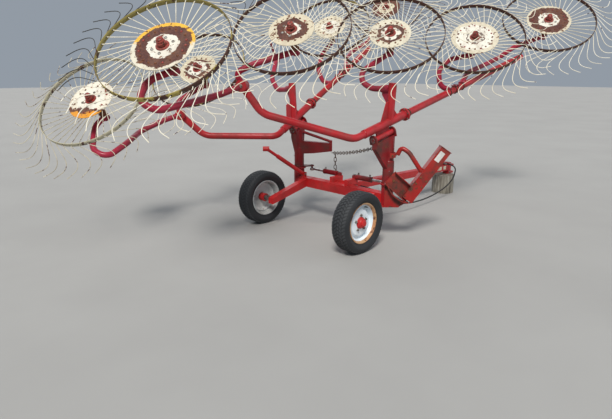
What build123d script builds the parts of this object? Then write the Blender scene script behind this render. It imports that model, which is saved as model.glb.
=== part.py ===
from build123d import *
import math
import os

# Trailed finger-wheel hay rake with both wings folded up for the road, its drawbar on a wooden stump.
# Millimetres. X points forward, Y to the left and Z up. Places are measured from the ground below the
# middle of the axle, and the whole model is moved at the end so that the drawbar's eye is the origin.

os.makedirs("parts", exist_ok=True)

SIDES = {"left": 1.0, "right": -1.0}

# General fits
SEAT_GAP = 0.3
SHAFT_FIT = 0.05
LOOSE_FIT = 5.0

# Road wheels
TRACK_HALF = 740.0
TYRE_RADIUS = 315.0
TYRE_WIDTH = 195.0
TYRE_SHOULDER = 45.0
RIM_RADIUS = 205.0
RIM_WIDTH = 140.0
RIM_WALL = 6.0
RIM_DISH = 30.0
WHEEL_HUB_RADIUS = 48.0
WHEEL_HUB_LENGTH = 110.0
AXLE_RADIUS = 20.0

# Chassis
CROSS_BEAM_X = 560.0
CROSS_BEAM_Z = 450.0
CROSS_BEAM_SIDE = 110.0
BOX_WALL = 8.0
COLUMN_Y = 680.0
WHEEL_ARM_Y = TRACK_HALF - 215.0
WHEEL_ARM_WIDTH = 80.0
WHEEL_ARM_HEIGHT = 95.0
DRAWBAR_SIDE = 90.0
DRAWBAR_SPARE = 20.0
DRAWBAR_FRONT_X = 3010.0
DRAWBAR_FRONT_Z = 375.0
CENTRE_PLATE_HEIGHT = 170.0
CENTRE_PLATE_HALF = 95.0
CENTRE_PLATE_THICKNESS = 14.0

# Hitch head and the stump below it
HITCH_X = 3160.0
HITCH_Z = 340.0
HITCH_BORE_RADIUS = 14.0
HITCH_EAR_RADIUS = 42.0
HITCH_EAR_OVERLAP = 10.0
HITCH_BLOCK_LENGTH = 70.0
HITCH_BLOCK_HALF = 48.0
HITCH_BLOCK_RISE = 40.0
BORE_SPARE = 5.0
HITCH_EAR_THICKNESS = 20.0
HITCH_EAR_SPACING = 110.0
STUMP_X = 2960.0
STUMP_RADIUS = 165.0
STUMP_HEIGHT = HITCH_Z - (HITCH_EAR_SPACING + HITCH_EAR_THICKNESS) / 2 - SEAT_GAP

# Columns that the wings swing on
COLUMN_BASE_RADIUS = 65.0
COLUMN_BASE_LOW = 390.0
COLUMN_BASE_TOP = 620.0
COLUMN_FLANGE_RADIUS = 84.0
COLUMN_FLANGE_THICKNESS = 14.0
COLUMN_PIN_RADIUS = 38.0
COLUMN_PIN_TOP = 840.0
SLEEVE_RADIUS = 60.0
SLEEVE_TOP = 860.0
NECK_RADIUS = 48.0
FORK_PLATE_THICKNESS = 60.0
FORK_PLATE_HALF = 45.0
FORK_PLATE_EDGE = 54.0

# Swing cylinders between the cross beam and the columns
LEVER_FORWARD = 130.0
LEVER_INWARD = 100.0
LEVER_THICKNESS = 14.0
LEVER_END_RADIUS = 26.0
CYLINDER_BASE_Y = 115.0
CYLINDER_Z = 585.0
CYLINDER_PIN_RADIUS = 12.0
CYLINDER_EYE_RADIUS = 28.0
CYLINDER_EYE_HEIGHT = 32.0
CYLINDER_SHELF_HALF = 26.0
CYLINDER_SHELF_BACK = 20.0
CYLINDER_SHELF_LIP = 30.0
CYLINDER_SHELF_SINK = 4.0
BARREL_START = 34.0
BARREL_NECK_HALF = 16.0
BARREL_NECK_OVERLAP = 6.0
BARREL_BORE_START = 50.0
BARREL_GLAND_WALL = 12.0
BARREL_RADIUS = 30.0
BARREL_WALL = 6.0
BARREL_END = 250.0
ROD_RADIUS = 14.0
ROD_START = 150.0

# Wing beams: bent tubes that carry the wheel arms
BEAM_RADIUS = 37.5
SLEEVE_TUBE_RADIUS = 45.0
SLEEVE_TUBE_OVERLAP = 150.0
BOSS_RADIUS = 56.0
BOSS_LENGTH = 150.0
POST_RADIUS = 42.0
CLAMP_RADIUS = 68.0
CLAMP_THICKNESS = 12.0
GUSSET_THICKNESS = 14.0
POST_RIB_REACH = 150.0
POST_RIB_HEIGHT = 215.0
HINGE_DROP = 112.0
HINGE_TUBE_RADIUS = 32.0
HINGE_PIN_RADIUS = 18.0
EAR_THICKNESS = 16.0
EAR_RADIUS = 52.0
BEAMS = {
    "right": {
        "rear": [(-720.0, 140.0, 1640.0), (-600.0, 0.0, 1380.0), (50.0, -620.0, 1130.0)],
        "elbow": (50.0, -620.0, 1130.0),
        "tip": (3130.0, -900.0, 1960.0),
        "clamp_x": 800.0,
        "post_top": (560.0, -690.0, 1660.0),
        "ears": (330.0, 610.0),
    },
    "left": {
        "rear": [(-645.0, 1420.0, 1290.0), (-430.0, 1270.0, 1040.0), (140.0, 630.0, 1040.0)],
        "elbow": (140.0, 630.0, 1040.0),
        "tip": (2150.0, 878.0, 2090.0),
        "clamp_x": 800.0,
        "post_top": (462.0, 700.0, 1640.0),
        "ears": (440.0, 640.0),
    },
}

# Bracket on the near column, drawn in the upright plane that runs out to the front right
FACE_TURN = -45.0
STAND_PLATE = 14.0
STAND_FOOT_WIDTH = 205.0
STAND_FOOT_DEPTH = 170.0
CURVED_FLANGE_WIDTH = 75.0
CHANNEL_WIDTH = 168.0
CHANNEL_WALL = 8.0
CHANNEL_DEPTH = 58.0
SLANT_ENDS = ((188.0, 468.0), (560.0, 1002.0))
SLANT_WIDTH = 118.0
SLANT_DEPTH = 100.0
SLANT_NEAR = 62.0
SLANT_WALL = 6.0
SLANT_CAP_RIM = 6.0
COLLAR_Z = 925.0
COLLAR_HEIGHT = 50.0
COLLAR_RADIUS = 66.0
COLLAR_WALL = 9.0
BRACE_RADIUS = 24.0

# Arm and chain that tie the folded wings together, and the arm at the cross beam's far end
TIE_ARM_Z = 868.0
TIE_ARM_REACH = 410.0
TIE_ARM_END_DROP = 52.0
TIE_ARM_WIDTH = 84.0
TIE_LINK_RADIUS = 17.0
CHAIN_WIRE = 6.0
CHAIN_INNER_LENGTH = 25.0
CHAIN_INNER_WIDTH = 8.0
CHAIN_GAP = 0.4
CHAIN_SAG = 22.0
CHAIN_TAIL = 215.0
CHAIN_START = (352.0, -622.8, 1010.0)
STRUT_RADIUS = 25.0
STRUT_INSET = 105.0
STRUT_BLOCK_HALF = 29.0
STRUT_BLOCK_HEIGHT = 60.0
STRUT_HEAD = (0.0, 650.0, 905.0)

# Hose from the drawbar's side to the coupler that lies on the drawbar's front end
HOSE_RADIUS = 9.0
COUPLER_RADIUS = 16.0
COUPLER_X = 2925.0
COUPLER_LENGTH = 110.0
COUPLER_APPROACH = 155.0
HOSE_RUNS = [
    (900.0, -160.0, 428.0), (1010.0, -240.0, 350.0), (1190.0, -275.0, 235.0), (1420.0, -280.0, 150.0),
    (1700.0, -272.0, 108.0), (1990.0, -262.0, 96.0), (2270.0, -258.0, 112.0), (2520.0, -258.0, 158.0),
    (2670.0, -262.0, 210.0), (2790.0, -270.0, 300.0),
]

# Finger wheels
RING_RADIUS = 550.0
RING_WIDTH = 44.0
RING_THICKNESS = 5.0
TINE_COUNT = 40
TINE_WIRE = 6.0
TINE_START = 185.0
TINE_LEAN = 24.0
TINE_CORNER_RADIUS = RING_RADIUS + 13.0
TINE_KNEE_RADIUS = 770.0
TINE_KNEE_TURN = -23.0
TINE_KNEE_DROP = 65.0
TINE_KNEE_CUT = 62.0
TINE_TIP_RADIUS = 900.0
TINE_TIP_TURN = -14.0
PLATE_RADIUS = {"large": 265.0, "small": 215.0}
PLATE_THICKNESS = 6.0
BACK_PLATE_RADIUS = 235.0
HUB_RADIUS = 40.0
HUB_BACK = 215.0
HUB_NOSE = 45.0
CAP_RADIUS = 34.0
CAP_LENGTH = 40.0
SPINDLE_RADIUS = 15.0
ARM_RADIUS = 30.0
ARM_PLANE = 250.0
ARM_BOSS_RADIUS = 38.0

# Way each wing's wheels face, as a turn about Z and a rise above the ground, in degrees
WHEEL_FACING = {"right": (-147.0, 45.5), "left": (-152.0, 44.5)}

FINGER_WHEELS = [
    {"name": "a", "wing": "right", "plate": "large", "centre": (-1640.0, -60.0, 1960.0)},
    {"name": "b", "wing": "right", "plate": "small", "centre": (-400.0, -210.0, 2140.0)},
    {"name": "c", "wing": "right", "plate": "small", "centre": (740.0, -500.0, 2150.0)},
    {"name": "d", "wing": "right", "plate": "large", "centre": (1915.0, -843.0, 2147.0)},
    {"name": "e", "wing": "right", "plate": "large", "centre": (3213.0, -1169.0, 2402.0)},
    {"name": "f", "wing": "left", "plate": "large", "centre": (-1690.0, 1320.0, 1500.0)},
    {"name": "g", "wing": "left", "plate": "small", "centre": (-450.0, 1300.0, 1800.0)},
    {"name": "h", "wing": "left", "plate": "small", "centre": (1680.0, 1210.0, 2370.0)},
    {"name": "i", "wing": "left", "plate": "small", "centre": (2982.0, 1220.0, 2723.0)},
]
# The arm that has lost its wheel ends where the others do
BARE_ARM_CENTRE = (670.0, 1300.0, 2100.0)

# What carries each wheel arm, how far along, and the arm's bends on the way to the back of its hub
ARMS = {
    "a": {"from": "boss", "along": -40.0, "bends": [
        (-990.0, 120.0, 1570.0), (-1420.0, -40.0, 1520.0), (-1760.0, -80.0, 1470.0),
        (-1830.0, 50.0, 1550.0), (-1700.0, 130.0, 1700.0)]},
    "b": {"from": "boss", "along": 40.0, "bends": [
        (-760.0, 190.0, 1760.0), (-590.0, 120.0, 1840.0)]},
    "c": {"from": "post", "along": -50.0, "bends": [
        (550.0, -580.0, 1600.0), (530.0, -450.0, 1600.0), (510.0, -330.0, 1660.0),
        (560.0, -280.0, 1770.0)]},
    "d": {"from": "extension", "along": 1620.0, "bends": [
        (1600.0, -620.0, 1610.0), (1700.0, -530.0, 1780.0), (1870.0, -560.0, 1910.0)]},
    "e": {"from": "extension", "along": 1760.0, "bends": [
        (2070.0, -710.0, 1760.0), (2570.0, -710.0, 1870.0), (2900.0, -710.0, 1950.0),
        (3150.0, -790.0, 2090.0)]},
    "f": {"from": "boss", "along": -40.0, "bends": [
        (-830.0, 1450.0, 1240.0), (-1080.0, 1550.0, 1130.0), (-1450.0, 1160.0, 1060.0),
        (-1690.0, 1080.0, 960.0), (-1780.0, 1220.0, 1020.0), (-1650.0, 1400.0, 1240.0)]},
    "g": {"from": "boss", "along": 40.0, "bends": [
        (-640.0, 1490.0, 1420.0), (-500.0, 1460.0, 1510.0)]},
    "m": {"from": "post", "along": -50.0, "bends": [
        (500.0, 850.0, 1560.0), (530.0, 1040.0, 1550.0), (600.0, 1220.0, 1680.0)]},
    "h": {"from": "extension", "along": 1420.0, "bends": [
        (1420.0, 930.0, 1620.0), (1450.0, 1110.0, 1630.0), (1510.0, 1270.0, 1790.0),
        (1650.0, 1330.0, 2000.0)]},
    "i": {"from": "extension", "along": 1560.0, "bends": [
        (1900.0, 1080.0, 1950.0), (2350.0, 1370.0, 2060.0), (2660.0, 1340.0, 2190.0),
        (2940.0, 1370.0, 2410.0)]},
}
ARM_NODES = {
    "arms_right_rear": "ab", "arm_right_middle": "c", "arms_right_front": "de",
    "arms_left_rear": "fg", "arm_left_middle": "m", "arms_left_front": "hi",
}


def vector(point):
    return Vector(*tuple(point))


def box(x_range, y_range, z_range):
    size = [high - low for low, high in (x_range, y_range, z_range)]
    middle = [(high + low) / 2 for low, high in (x_range, y_range, z_range)]
    return Pos(*middle) * Box(*size)


def bar(start, end, radius):
    """Round bar between two points."""
    direction = vector(end) - vector(start)
    plane = Plane(origin=vector(start), z_dir=direction)
    return plane * Cylinder(radius, direction.length, align=(Align.CENTER, Align.CENTER, Align.MIN))


def bend_radii(points):
    radii = []
    for before, here, after in zip(points[:-2], points[1:-1], points[2:]):
        run_in = vector(here) - vector(before)
        run_out = vector(after) - vector(here)
        half_turn = math.radians(run_in.get_angle(run_out)) / 2
        radii.append(0.45 * min(run_in.length, run_out.length) / math.tan(half_turn))
    return radii


def bent_bar(points, radius):
    """Round bar along straight runs joined by arcs."""
    limits = bend_radii(points)
    radii = [min(limit, 6.0 * radius) for limit in limits]
    path = FilletPolyline(*[vector(point) for point in points], radius=radii) if radii else Line(*points)
    plane = Plane(origin=path @ 0, z_dir=path % 0)
    return sweep(plane * Circle(radius), path=path)


def box_bar(start, end, width, height, wall=0.0):
    """Rectangular tube between two points, its height in the upright plane."""
    direction = vector(end) - vector(start)
    across = Vector(0, 0, 1).cross(direction)
    plane = Plane(origin=vector(start), x_dir=across, z_dir=direction)
    section = Rectangle(width, height)
    if wall:
        section -= Rectangle(width - 2 * wall, height - 2 * wall)
    return extrude(plane * section, amount=direction.length)


def facing(wing):
    turn, rise = (math.radians(angle) for angle in WHEEL_FACING[wing])
    return Vector(math.cos(rise) * math.cos(turn), math.cos(rise) * math.sin(turn), math.sin(rise))


def wheel_plane(wing, centre):
    """Plane of a finger wheel's ring, its normal out of the hub's cap and its x level."""
    normal = facing(wing)
    return Plane(origin=vector(centre), x_dir=Vector(0, 0, 1).cross(normal), z_dir=normal)


def polar(radius, turn, height=0.0):
    angle = math.radians(turn)
    return Vector(radius * math.cos(angle), radius * math.sin(angle), height)


def tine_run():
    """Start and end of a tine's straight run, from under the hub's plate to just past the hoop."""
    return polar(TINE_START, 0.0), polar(TINE_CORNER_RADIUS, TINE_LEAN)


def tine():
    """One bent wire tine, from under the hub's plate out past the ring to its tip."""
    start, corner = tine_run()
    knee = polar(TINE_KNEE_RADIUS, TINE_LEAN + TINE_KNEE_TURN, -TINE_KNEE_DROP)
    tip = polar(TINE_TIP_RADIUS, TINE_LEAN + TINE_TIP_TURN, -TINE_KNEE_DROP)
    knee_in = knee + (corner - knee).normalized() * TINE_KNEE_CUT
    knee_out = knee + (tip - knee).normalized() * TINE_KNEE_CUT
    plane = Plane(origin=start, x_dir=Vector(0, 0, 1).cross(corner - start), z_dir=corner - start)
    path = Polyline(start, corner, knee_in, knee_out, tip)
    return sweep(plane * Rectangle(TINE_WIRE, TINE_WIRE), path=path, transition=Transition.RIGHT)


def hoop():
    """Flat band round the wheel, with a square hole that each tine passes through."""
    band = Circle(RING_RADIUS + RING_THICKNESS) - Circle(RING_RADIUS)
    ring = extrude(Plane.XY.offset(-RING_WIDTH / 2) * band, amount=RING_WIDTH)
    start, corner = tine_run()
    run = corner - start
    plane = Plane(origin=start + run * 0.9, x_dir=Vector(0, 0, 1).cross(run), z_dir=run)
    side = TINE_WIRE + 2 * SEAT_GAP
    hole = extrude(plane * Rectangle(side, side), amount=run.length * 0.2)
    return ring - [Rot(0, 0, index * 360.0 / TINE_COUNT) * hole for index in range(TINE_COUNT)]


def wheel_hub(plate):
    """Hub with the plate that holds the tines down and the cap over the spindle's end."""
    seat = TINE_WIRE / 2 + SEAT_GAP
    plate_radius = PLATE_RADIUS[plate]
    back_radius = min(BACK_PLATE_RADIUS, plate_radius - 15.0)
    bore = SPINDLE_RADIUS + SHAFT_FIT
    profile = Polyline(
        (bore, -HUB_BACK), (HUB_RADIUS, -HUB_BACK), (HUB_RADIUS, -seat - PLATE_THICKNESS),
        (back_radius, -seat - PLATE_THICKNESS), (back_radius, -seat),
        (TINE_START - 30.0, -seat), (TINE_START - 30.0, seat),
        (plate_radius, seat), (plate_radius, seat + PLATE_THICKNESS),
        (HUB_RADIUS, seat + PLATE_THICKNESS), (CAP_RADIUS, HUB_NOSE + CAP_LENGTH),
        (0.0, HUB_NOSE + CAP_LENGTH), (0.0, HUB_NOSE), (bore, HUB_NOSE), close=True,
    )
    return revolve(Plane.XZ * make_face(profile), axis=Axis.Z)


def finger_wheel(plate, hand):
    one_tine = tine()
    tines = [Rot(0, 0, index * 360.0 / TINE_COUNT) * one_tine for index in range(TINE_COUNT)]
    wheel = Compound(children=[wheel_hub(plate), hoop()] + tines)
    return mirror(wheel, about=Plane.YZ) if hand == "left" else wheel


def tyre(side):
    half = TYRE_WIDTH / 2
    inner = RIM_RADIUS + SEAT_GAP
    bead = RIM_WIDTH / 2 - RIM_WALL
    profile = Polyline(
        (inner - 12.0, -bead), (inner - 12.0, bead), (inner, bead), (inner + 40.0, half - 4.0),
        (TYRE_RADIUS - TYRE_SHOULDER, half), (TYRE_RADIUS - 12.0, half - 22.0),
        (TYRE_RADIUS, half - 40.0), (TYRE_RADIUS, -half + 40.0), (TYRE_RADIUS - 12.0, -half + 22.0),
        (TYRE_RADIUS - TYRE_SHOULDER, -half), (inner + 40.0, -half + 4.0), (inner, -bead), close=True,
    )
    ring = revolve(Plane.XZ * make_face(profile), axis=Axis.Z)
    return wheel_place(side) * ring


def rim(side):
    half = RIM_WIDTH / 2
    well = RIM_RADIUS - 12.0 - SEAT_GAP
    bore = AXLE_RADIUS + SHAFT_FIT
    hub_half = WHEEL_HUB_LENGTH / 2
    profile = Polyline(
        (bore, -hub_half), (WHEEL_HUB_RADIUS, -hub_half), (WHEEL_HUB_RADIUS, RIM_DISH - RIM_WALL),
        (well - 45.0, RIM_DISH - RIM_WALL), (well - RIM_WALL, RIM_DISH - 45.0),
        (well - RIM_WALL, -half), (RIM_RADIUS, -half), (RIM_RADIUS, -half + RIM_WALL - SEAT_GAP),
        (well, -half + RIM_WALL - SEAT_GAP), (well, half - RIM_WALL + SEAT_GAP),
        (RIM_RADIUS, half - RIM_WALL + SEAT_GAP), (RIM_RADIUS, half), (well - RIM_WALL, half),
        (well - RIM_WALL, RIM_DISH - 25.0), (well - 45.0, RIM_DISH),
        (WHEEL_HUB_RADIUS, RIM_DISH), (WHEEL_HUB_RADIUS, hub_half), (30.0, hub_half + 25.0),
        (0.0, hub_half + 25.0), (0.0, hub_half), (bore, hub_half), close=True,
    )
    return wheel_place(side) * revolve(Plane.XZ * make_face(profile), axis=Axis.Z)


def wheel_place(side):
    """Places a road wheel drawn about Z with its outer face up."""
    outward = Vector(0, SIDES[side], 0)
    return Plane(origin=(0, SIDES[side] * TRACK_HALF, TYRE_RADIUS), x_dir=(1, 0, 0), z_dir=outward).location


def axle(side):
    inner = SIDES[side] * (WHEEL_ARM_Y + WHEEL_ARM_WIDTH / 2 + SEAT_GAP)
    outer = SIDES[side] * (TRACK_HALF + WHEEL_HUB_LENGTH / 2 - 8.0)
    collar = SIDES[side] * (TRACK_HALF - WHEEL_HUB_LENGTH / 2 - LOOSE_FIT)
    shaft = bar((0, inner, TYRE_RADIUS), (0, outer, TYRE_RADIUS), AXLE_RADIUS)
    flange = bar((0, inner, TYRE_RADIUS), (0, collar, TYRE_RADIUS), AXLE_RADIUS + 14.0)
    return shaft + flange


def wheel_arm(side):
    """Box arm from the axle forward and up to the back of the cross beam."""
    y = SIDES[side] * WHEEL_ARM_Y
    back = CROSS_BEAM_X - CROSS_BEAM_SIDE / 2 - SEAT_GAP
    half = WHEEL_ARM_HEIGHT / 2
    profile = Polyline(
        (-60.0, TYRE_RADIUS - 38.0), (back, CROSS_BEAM_Z - half), (back, CROSS_BEAM_Z + half),
        (-10.0, TYRE_RADIUS + half), (-60.0, TYRE_RADIUS + 30.0), close=True,
    )
    return extrude(Plane.XZ.offset(-y) * make_face(profile), amount=WHEEL_ARM_WIDTH / 2, both=True)


def cross_beam():
    reach = COLUMN_Y
    tube = box_bar((CROSS_BEAM_X, -reach, CROSS_BEAM_Z), (CROSS_BEAM_X, reach, CROSS_BEAM_Z),
                   CROSS_BEAM_SIDE, CROSS_BEAM_SIDE, BOX_WALL)
    plate_half = CENTRE_PLATE_HEIGHT / 2
    plate_x = CROSS_BEAM_X + CROSS_BEAM_SIDE / 2
    plate = box((plate_x, plate_x + CENTRE_PLATE_THICKNESS), (-CENTRE_PLATE_HALF, CENTRE_PLATE_HALF),
                (CROSS_BEAM_Z - plate_half, CROSS_BEAM_Z + plate_half))
    solid = tube + plate
    pin_x = CROSS_BEAM_X + LEVER_FORWARD
    shelf_top = CYLINDER_Z - CYLINDER_EYE_HEIGHT / 2 - SEAT_GAP
    for direction in SIDES.values():
        y = direction * CYLINDER_BASE_Y
        shelf = box((CROSS_BEAM_X - CYLINDER_SHELF_BACK, pin_x + CYLINDER_SHELF_LIP),
                    sorted((y - CYLINDER_SHELF_HALF, y + CYLINDER_SHELF_HALF)),
                    (CROSS_BEAM_Z + CROSS_BEAM_SIDE / 2 - CYLINDER_SHELF_SINK, shelf_top))
        pin = bar((pin_x, y, shelf_top - 10.0), (pin_x, y, CYLINDER_Z + CYLINDER_EYE_HEIGHT / 2 + 8.0),
                  CYLINDER_PIN_RADIUS)
        solid = solid + shelf + pin
        post_low = (CROSS_BEAM_X, direction * COLUMN_Y, COLUMN_BASE_LOW)
        post_high = (CROSS_BEAM_X, direction * COLUMN_Y, COLUMN_BASE_TOP)
        solid = solid - bar(post_low, post_high, COLUMN_BASE_RADIUS + SEAT_GAP)
    return solid.solids().sort_by(SortBy.VOLUME)[-1]


def column_base(side):
    """Post on the end of the cross beam, with the flange and pin that a wing's sleeve turns on."""
    y = SIDES[side] * COLUMN_Y
    post = bar((CROSS_BEAM_X, y, COLUMN_BASE_LOW), (CROSS_BEAM_X, y, COLUMN_BASE_TOP), COLUMN_BASE_RADIUS)
    flange = bar((CROSS_BEAM_X, y, COLUMN_BASE_TOP - COLUMN_FLANGE_THICKNESS),
                 (CROSS_BEAM_X, y, COLUMN_BASE_TOP), COLUMN_FLANGE_RADIUS)
    pin = bar((CROSS_BEAM_X, y, COLUMN_BASE_TOP), (CROSS_BEAM_X, y, COLUMN_PIN_TOP), COLUMN_PIN_RADIUS)
    return post + flange + pin


def drawbar():
    """Square tube from the centre plate to the hitch head, cut square to the machine at both ends."""
    start_x = CROSS_BEAM_X + CROSS_BEAM_SIDE / 2 + CENTRE_PLATE_THICKNESS + SEAT_GAP
    tube = box_bar((start_x - DRAWBAR_SPARE, 0, CROSS_BEAM_Z),
                   (DRAWBAR_FRONT_X + DRAWBAR_SPARE, 0, DRAWBAR_FRONT_Z),
                   DRAWBAR_SIDE, DRAWBAR_SIDE, BOX_WALL)
    return tube & box((start_x, DRAWBAR_FRONT_X), (-DRAWBAR_SIDE, DRAWBAR_SIDE),
                      (0.0, CROSS_BEAM_Z + DRAWBAR_FRONT_Z))


def hitch_head():
    """Clevis with a vertical bore, on a block at the drawbar's front end."""
    gap = HITCH_EAR_SPACING - HITCH_EAR_THICKNESS
    low = HITCH_Z - HITCH_EAR_SPACING / 2 - HITCH_EAR_THICKNESS / 2
    high = HITCH_Z + HITCH_EAR_SPACING / 2 + HITCH_EAR_THICKNESS / 2
    block_x = DRAWBAR_FRONT_X + SEAT_GAP
    block_front = block_x + HITCH_BLOCK_LENGTH
    block = box((block_x, block_front), (-HITCH_BLOCK_HALF, HITCH_BLOCK_HALF), (low, high + HITCH_BLOCK_RISE))
    ears = box((block_front - HITCH_EAR_OVERLAP, HITCH_X), (-HITCH_EAR_RADIUS, HITCH_EAR_RADIUS), (low, high))
    ears += bar((HITCH_X, 0, low), (HITCH_X, 0, high), HITCH_EAR_RADIUS)
    mouth = 2 * HITCH_EAR_RADIUS
    ears -= box((block_front, HITCH_X + mouth), (-mouth, mouth), (HITCH_Z - gap / 2, HITCH_Z + gap / 2))
    bore = bar((HITCH_X, 0, low - BORE_SPARE), (HITCH_X, 0, high + BORE_SPARE), HITCH_BORE_RADIUS)
    return block + ears - bore


def drawbar_height(x):
    """Height of the drawbar's middle line at a given X."""
    start_x = CROSS_BEAM_X + CROSS_BEAM_SIDE / 2
    share = (x - start_x) / (DRAWBAR_FRONT_X - start_x)
    return CROSS_BEAM_Z + (DRAWBAR_FRONT_Z - CROSS_BEAM_Z) * share


def coupler_end():
    """Middle of the coupler's rear face, where the hose goes in."""
    z = drawbar_height(COUPLER_X) + DRAWBAR_SIDE / 2 + SEAT_GAP + COUPLER_RADIUS + 0.5
    return Vector(COUPLER_X, -DRAWBAR_SIDE / 2 - 15.0, z)


def coupler():
    start = coupler_end()
    along = Vector(0, 1, 0)
    collar = bar(start + along * 34.0, start + along * 62.0, COUPLER_RADIUS)
    body = bar(start + along * SEAT_GAP, start + along * COUPLER_LENGTH, COUPLER_RADIUS - 4.0)
    return collar + body


def hose():
    """Hose hanging beside the drawbar: straight runs joined by arcs."""
    first = Vector(HOSE_RUNS[0][0], -DRAWBAR_SIDE / 2 - SEAT_GAP, HOSE_RUNS[0][2])
    end = coupler_end()
    points = [first] + [Vector(*point) for point in HOSE_RUNS] + [end - Vector(0, COUPLER_APPROACH, 0), end]
    radii = bend_radii(points)
    path = FilletPolyline(*points, radius=radii)
    tube = sweep(Plane(origin=path @ 0, z_dir=path % 0) * Circle(HOSE_RADIUS), path=path)
    section = math.pi * HOSE_RADIUS ** 2
    print("hose radii", [round(radius) for radius in radii], "length", round(path.length),
          "volume share", round(tube.volume / (section * path.length), 4))
    return tube


def stump():
    return bar((STUMP_X, 0, 0), (STUMP_X, 0, STUMP_HEIGHT), STUMP_RADIUS)


def swing_lever(side):
    """Plate out from the sleeve's foot with the stud that the rod's eye goes on."""
    y = SIDES[side]
    pin = (CROSS_BEAM_X + LEVER_FORWARD, y * (COLUMN_Y - LEVER_INWARD))
    low = COLUMN_BASE_TOP + SEAT_GAP
    plate = make_hull(
        (Pos(CROSS_BEAM_X, y * COLUMN_Y) * Circle(SLEEVE_RADIUS + 10.0)).edges()
        + (Pos(*pin) * Circle(LEVER_END_RADIUS)).edges()
    )
    lever = extrude(Plane.XY.offset(low) * plate, amount=LEVER_THICKNESS)
    stud = bar((*pin, CYLINDER_Z - CYLINDER_EYE_HEIGHT / 2 - 6.0), (*pin, low + 1.0), CYLINDER_PIN_RADIUS)
    return lever + stud


def barrel(side):
    y = SIDES[side]
    x = CROSS_BEAM_X + LEVER_FORWARD
    base = y * CYLINDER_BASE_Y
    end = y * (CYLINDER_BASE_Y + BARREL_END)
    half = CYLINDER_EYE_HEIGHT / 2
    tube = bar((x, base + y * BARREL_START, CYLINDER_Z), (x, end, CYLINDER_Z), BARREL_RADIUS)
    neck = box((x - BARREL_NECK_HALF, x + BARREL_NECK_HALF),
               sorted((base, base + y * (BARREL_START + BARREL_NECK_OVERLAP))),
               (CYLINDER_Z - half, CYLINDER_Z + half))
    eye = bar((x, base, CYLINDER_Z - half), (x, base, CYLINDER_Z + half), CYLINDER_EYE_RADIUS)
    hole = bar((x, base, CYLINDER_Z - CYLINDER_EYE_HEIGHT), (x, base, CYLINDER_Z + CYLINDER_EYE_HEIGHT),
               CYLINDER_PIN_RADIUS + SHAFT_FIT)
    inside = bar((x, base + y * BARREL_BORE_START, CYLINDER_Z), (x, end - y * BARREL_GLAND_WALL, CYLINDER_Z),
                 BARREL_RADIUS - BARREL_WALL)
    gland = bar((x, end - y * (BARREL_GLAND_WALL + BORE_SPARE), CYLINDER_Z),
                (x, end + y * BORE_SPARE, CYLINDER_Z), ROD_RADIUS + SHAFT_FIT)
    return tube + neck + eye - hole - inside - gland


def rod(side):
    y = SIDES[side]
    x = CROSS_BEAM_X + LEVER_FORWARD
    start = y * (CYLINDER_BASE_Y + ROD_START)
    eye_y = y * (COLUMN_Y - LEVER_INWARD)
    half = CYLINDER_EYE_HEIGHT / 2
    shaft = bar((x, start, CYLINDER_Z), (x, eye_y, CYLINDER_Z), ROD_RADIUS)
    eye = bar((x, eye_y, CYLINDER_Z - half), (x, eye_y, CYLINDER_Z + half), CYLINDER_EYE_RADIUS)
    hole = bar((x, eye_y, CYLINDER_Z - CYLINDER_EYE_HEIGHT), (x, eye_y, CYLINDER_Z + CYLINDER_EYE_HEIGHT),
               CYLINDER_PIN_RADIUS + LOOSE_FIT)
    return shaft + eye - hole


def beam_direction(wing):
    data = BEAMS[wing]
    return (vector(data["tip"]) - vector(data["elbow"])).normalized()


def beam_point(wing, x, drop=0.0):
    """Point on the front run of a wing's beam at a given X, or below it by a drop."""
    start = vector(BEAMS[wing]["elbow"])
    run = beam_direction(wing)
    point = start + run * ((x - start.X) / run.X)
    return Vector(point.X, point.Y, point.Z - drop)


def post_run(wing):
    """Foot and top of a wing's post."""
    top = vector(BEAMS[wing]["post_top"])
    return beam_point(wing, top.X), top


def boss_run(wing):
    """Middle and direction of the boss at the beam's rear end, level and square to the tube."""
    end, before = (vector(point) for point in BEAMS[wing]["rear"][:2])
    return end, (end - before).cross(Vector(0, 0, 1)).normalized()


def boss(wing, gap=0.0):
    middle, run = boss_run(wing)
    half = BOSS_LENGTH / 2 + gap
    return bar(middle - run * half, middle + run * half, BOSS_RADIUS + gap)


def ear_places(wing):
    return [beam_point(wing, x, HINGE_DROP) for x in BEAMS[wing]["ears"]]


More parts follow.
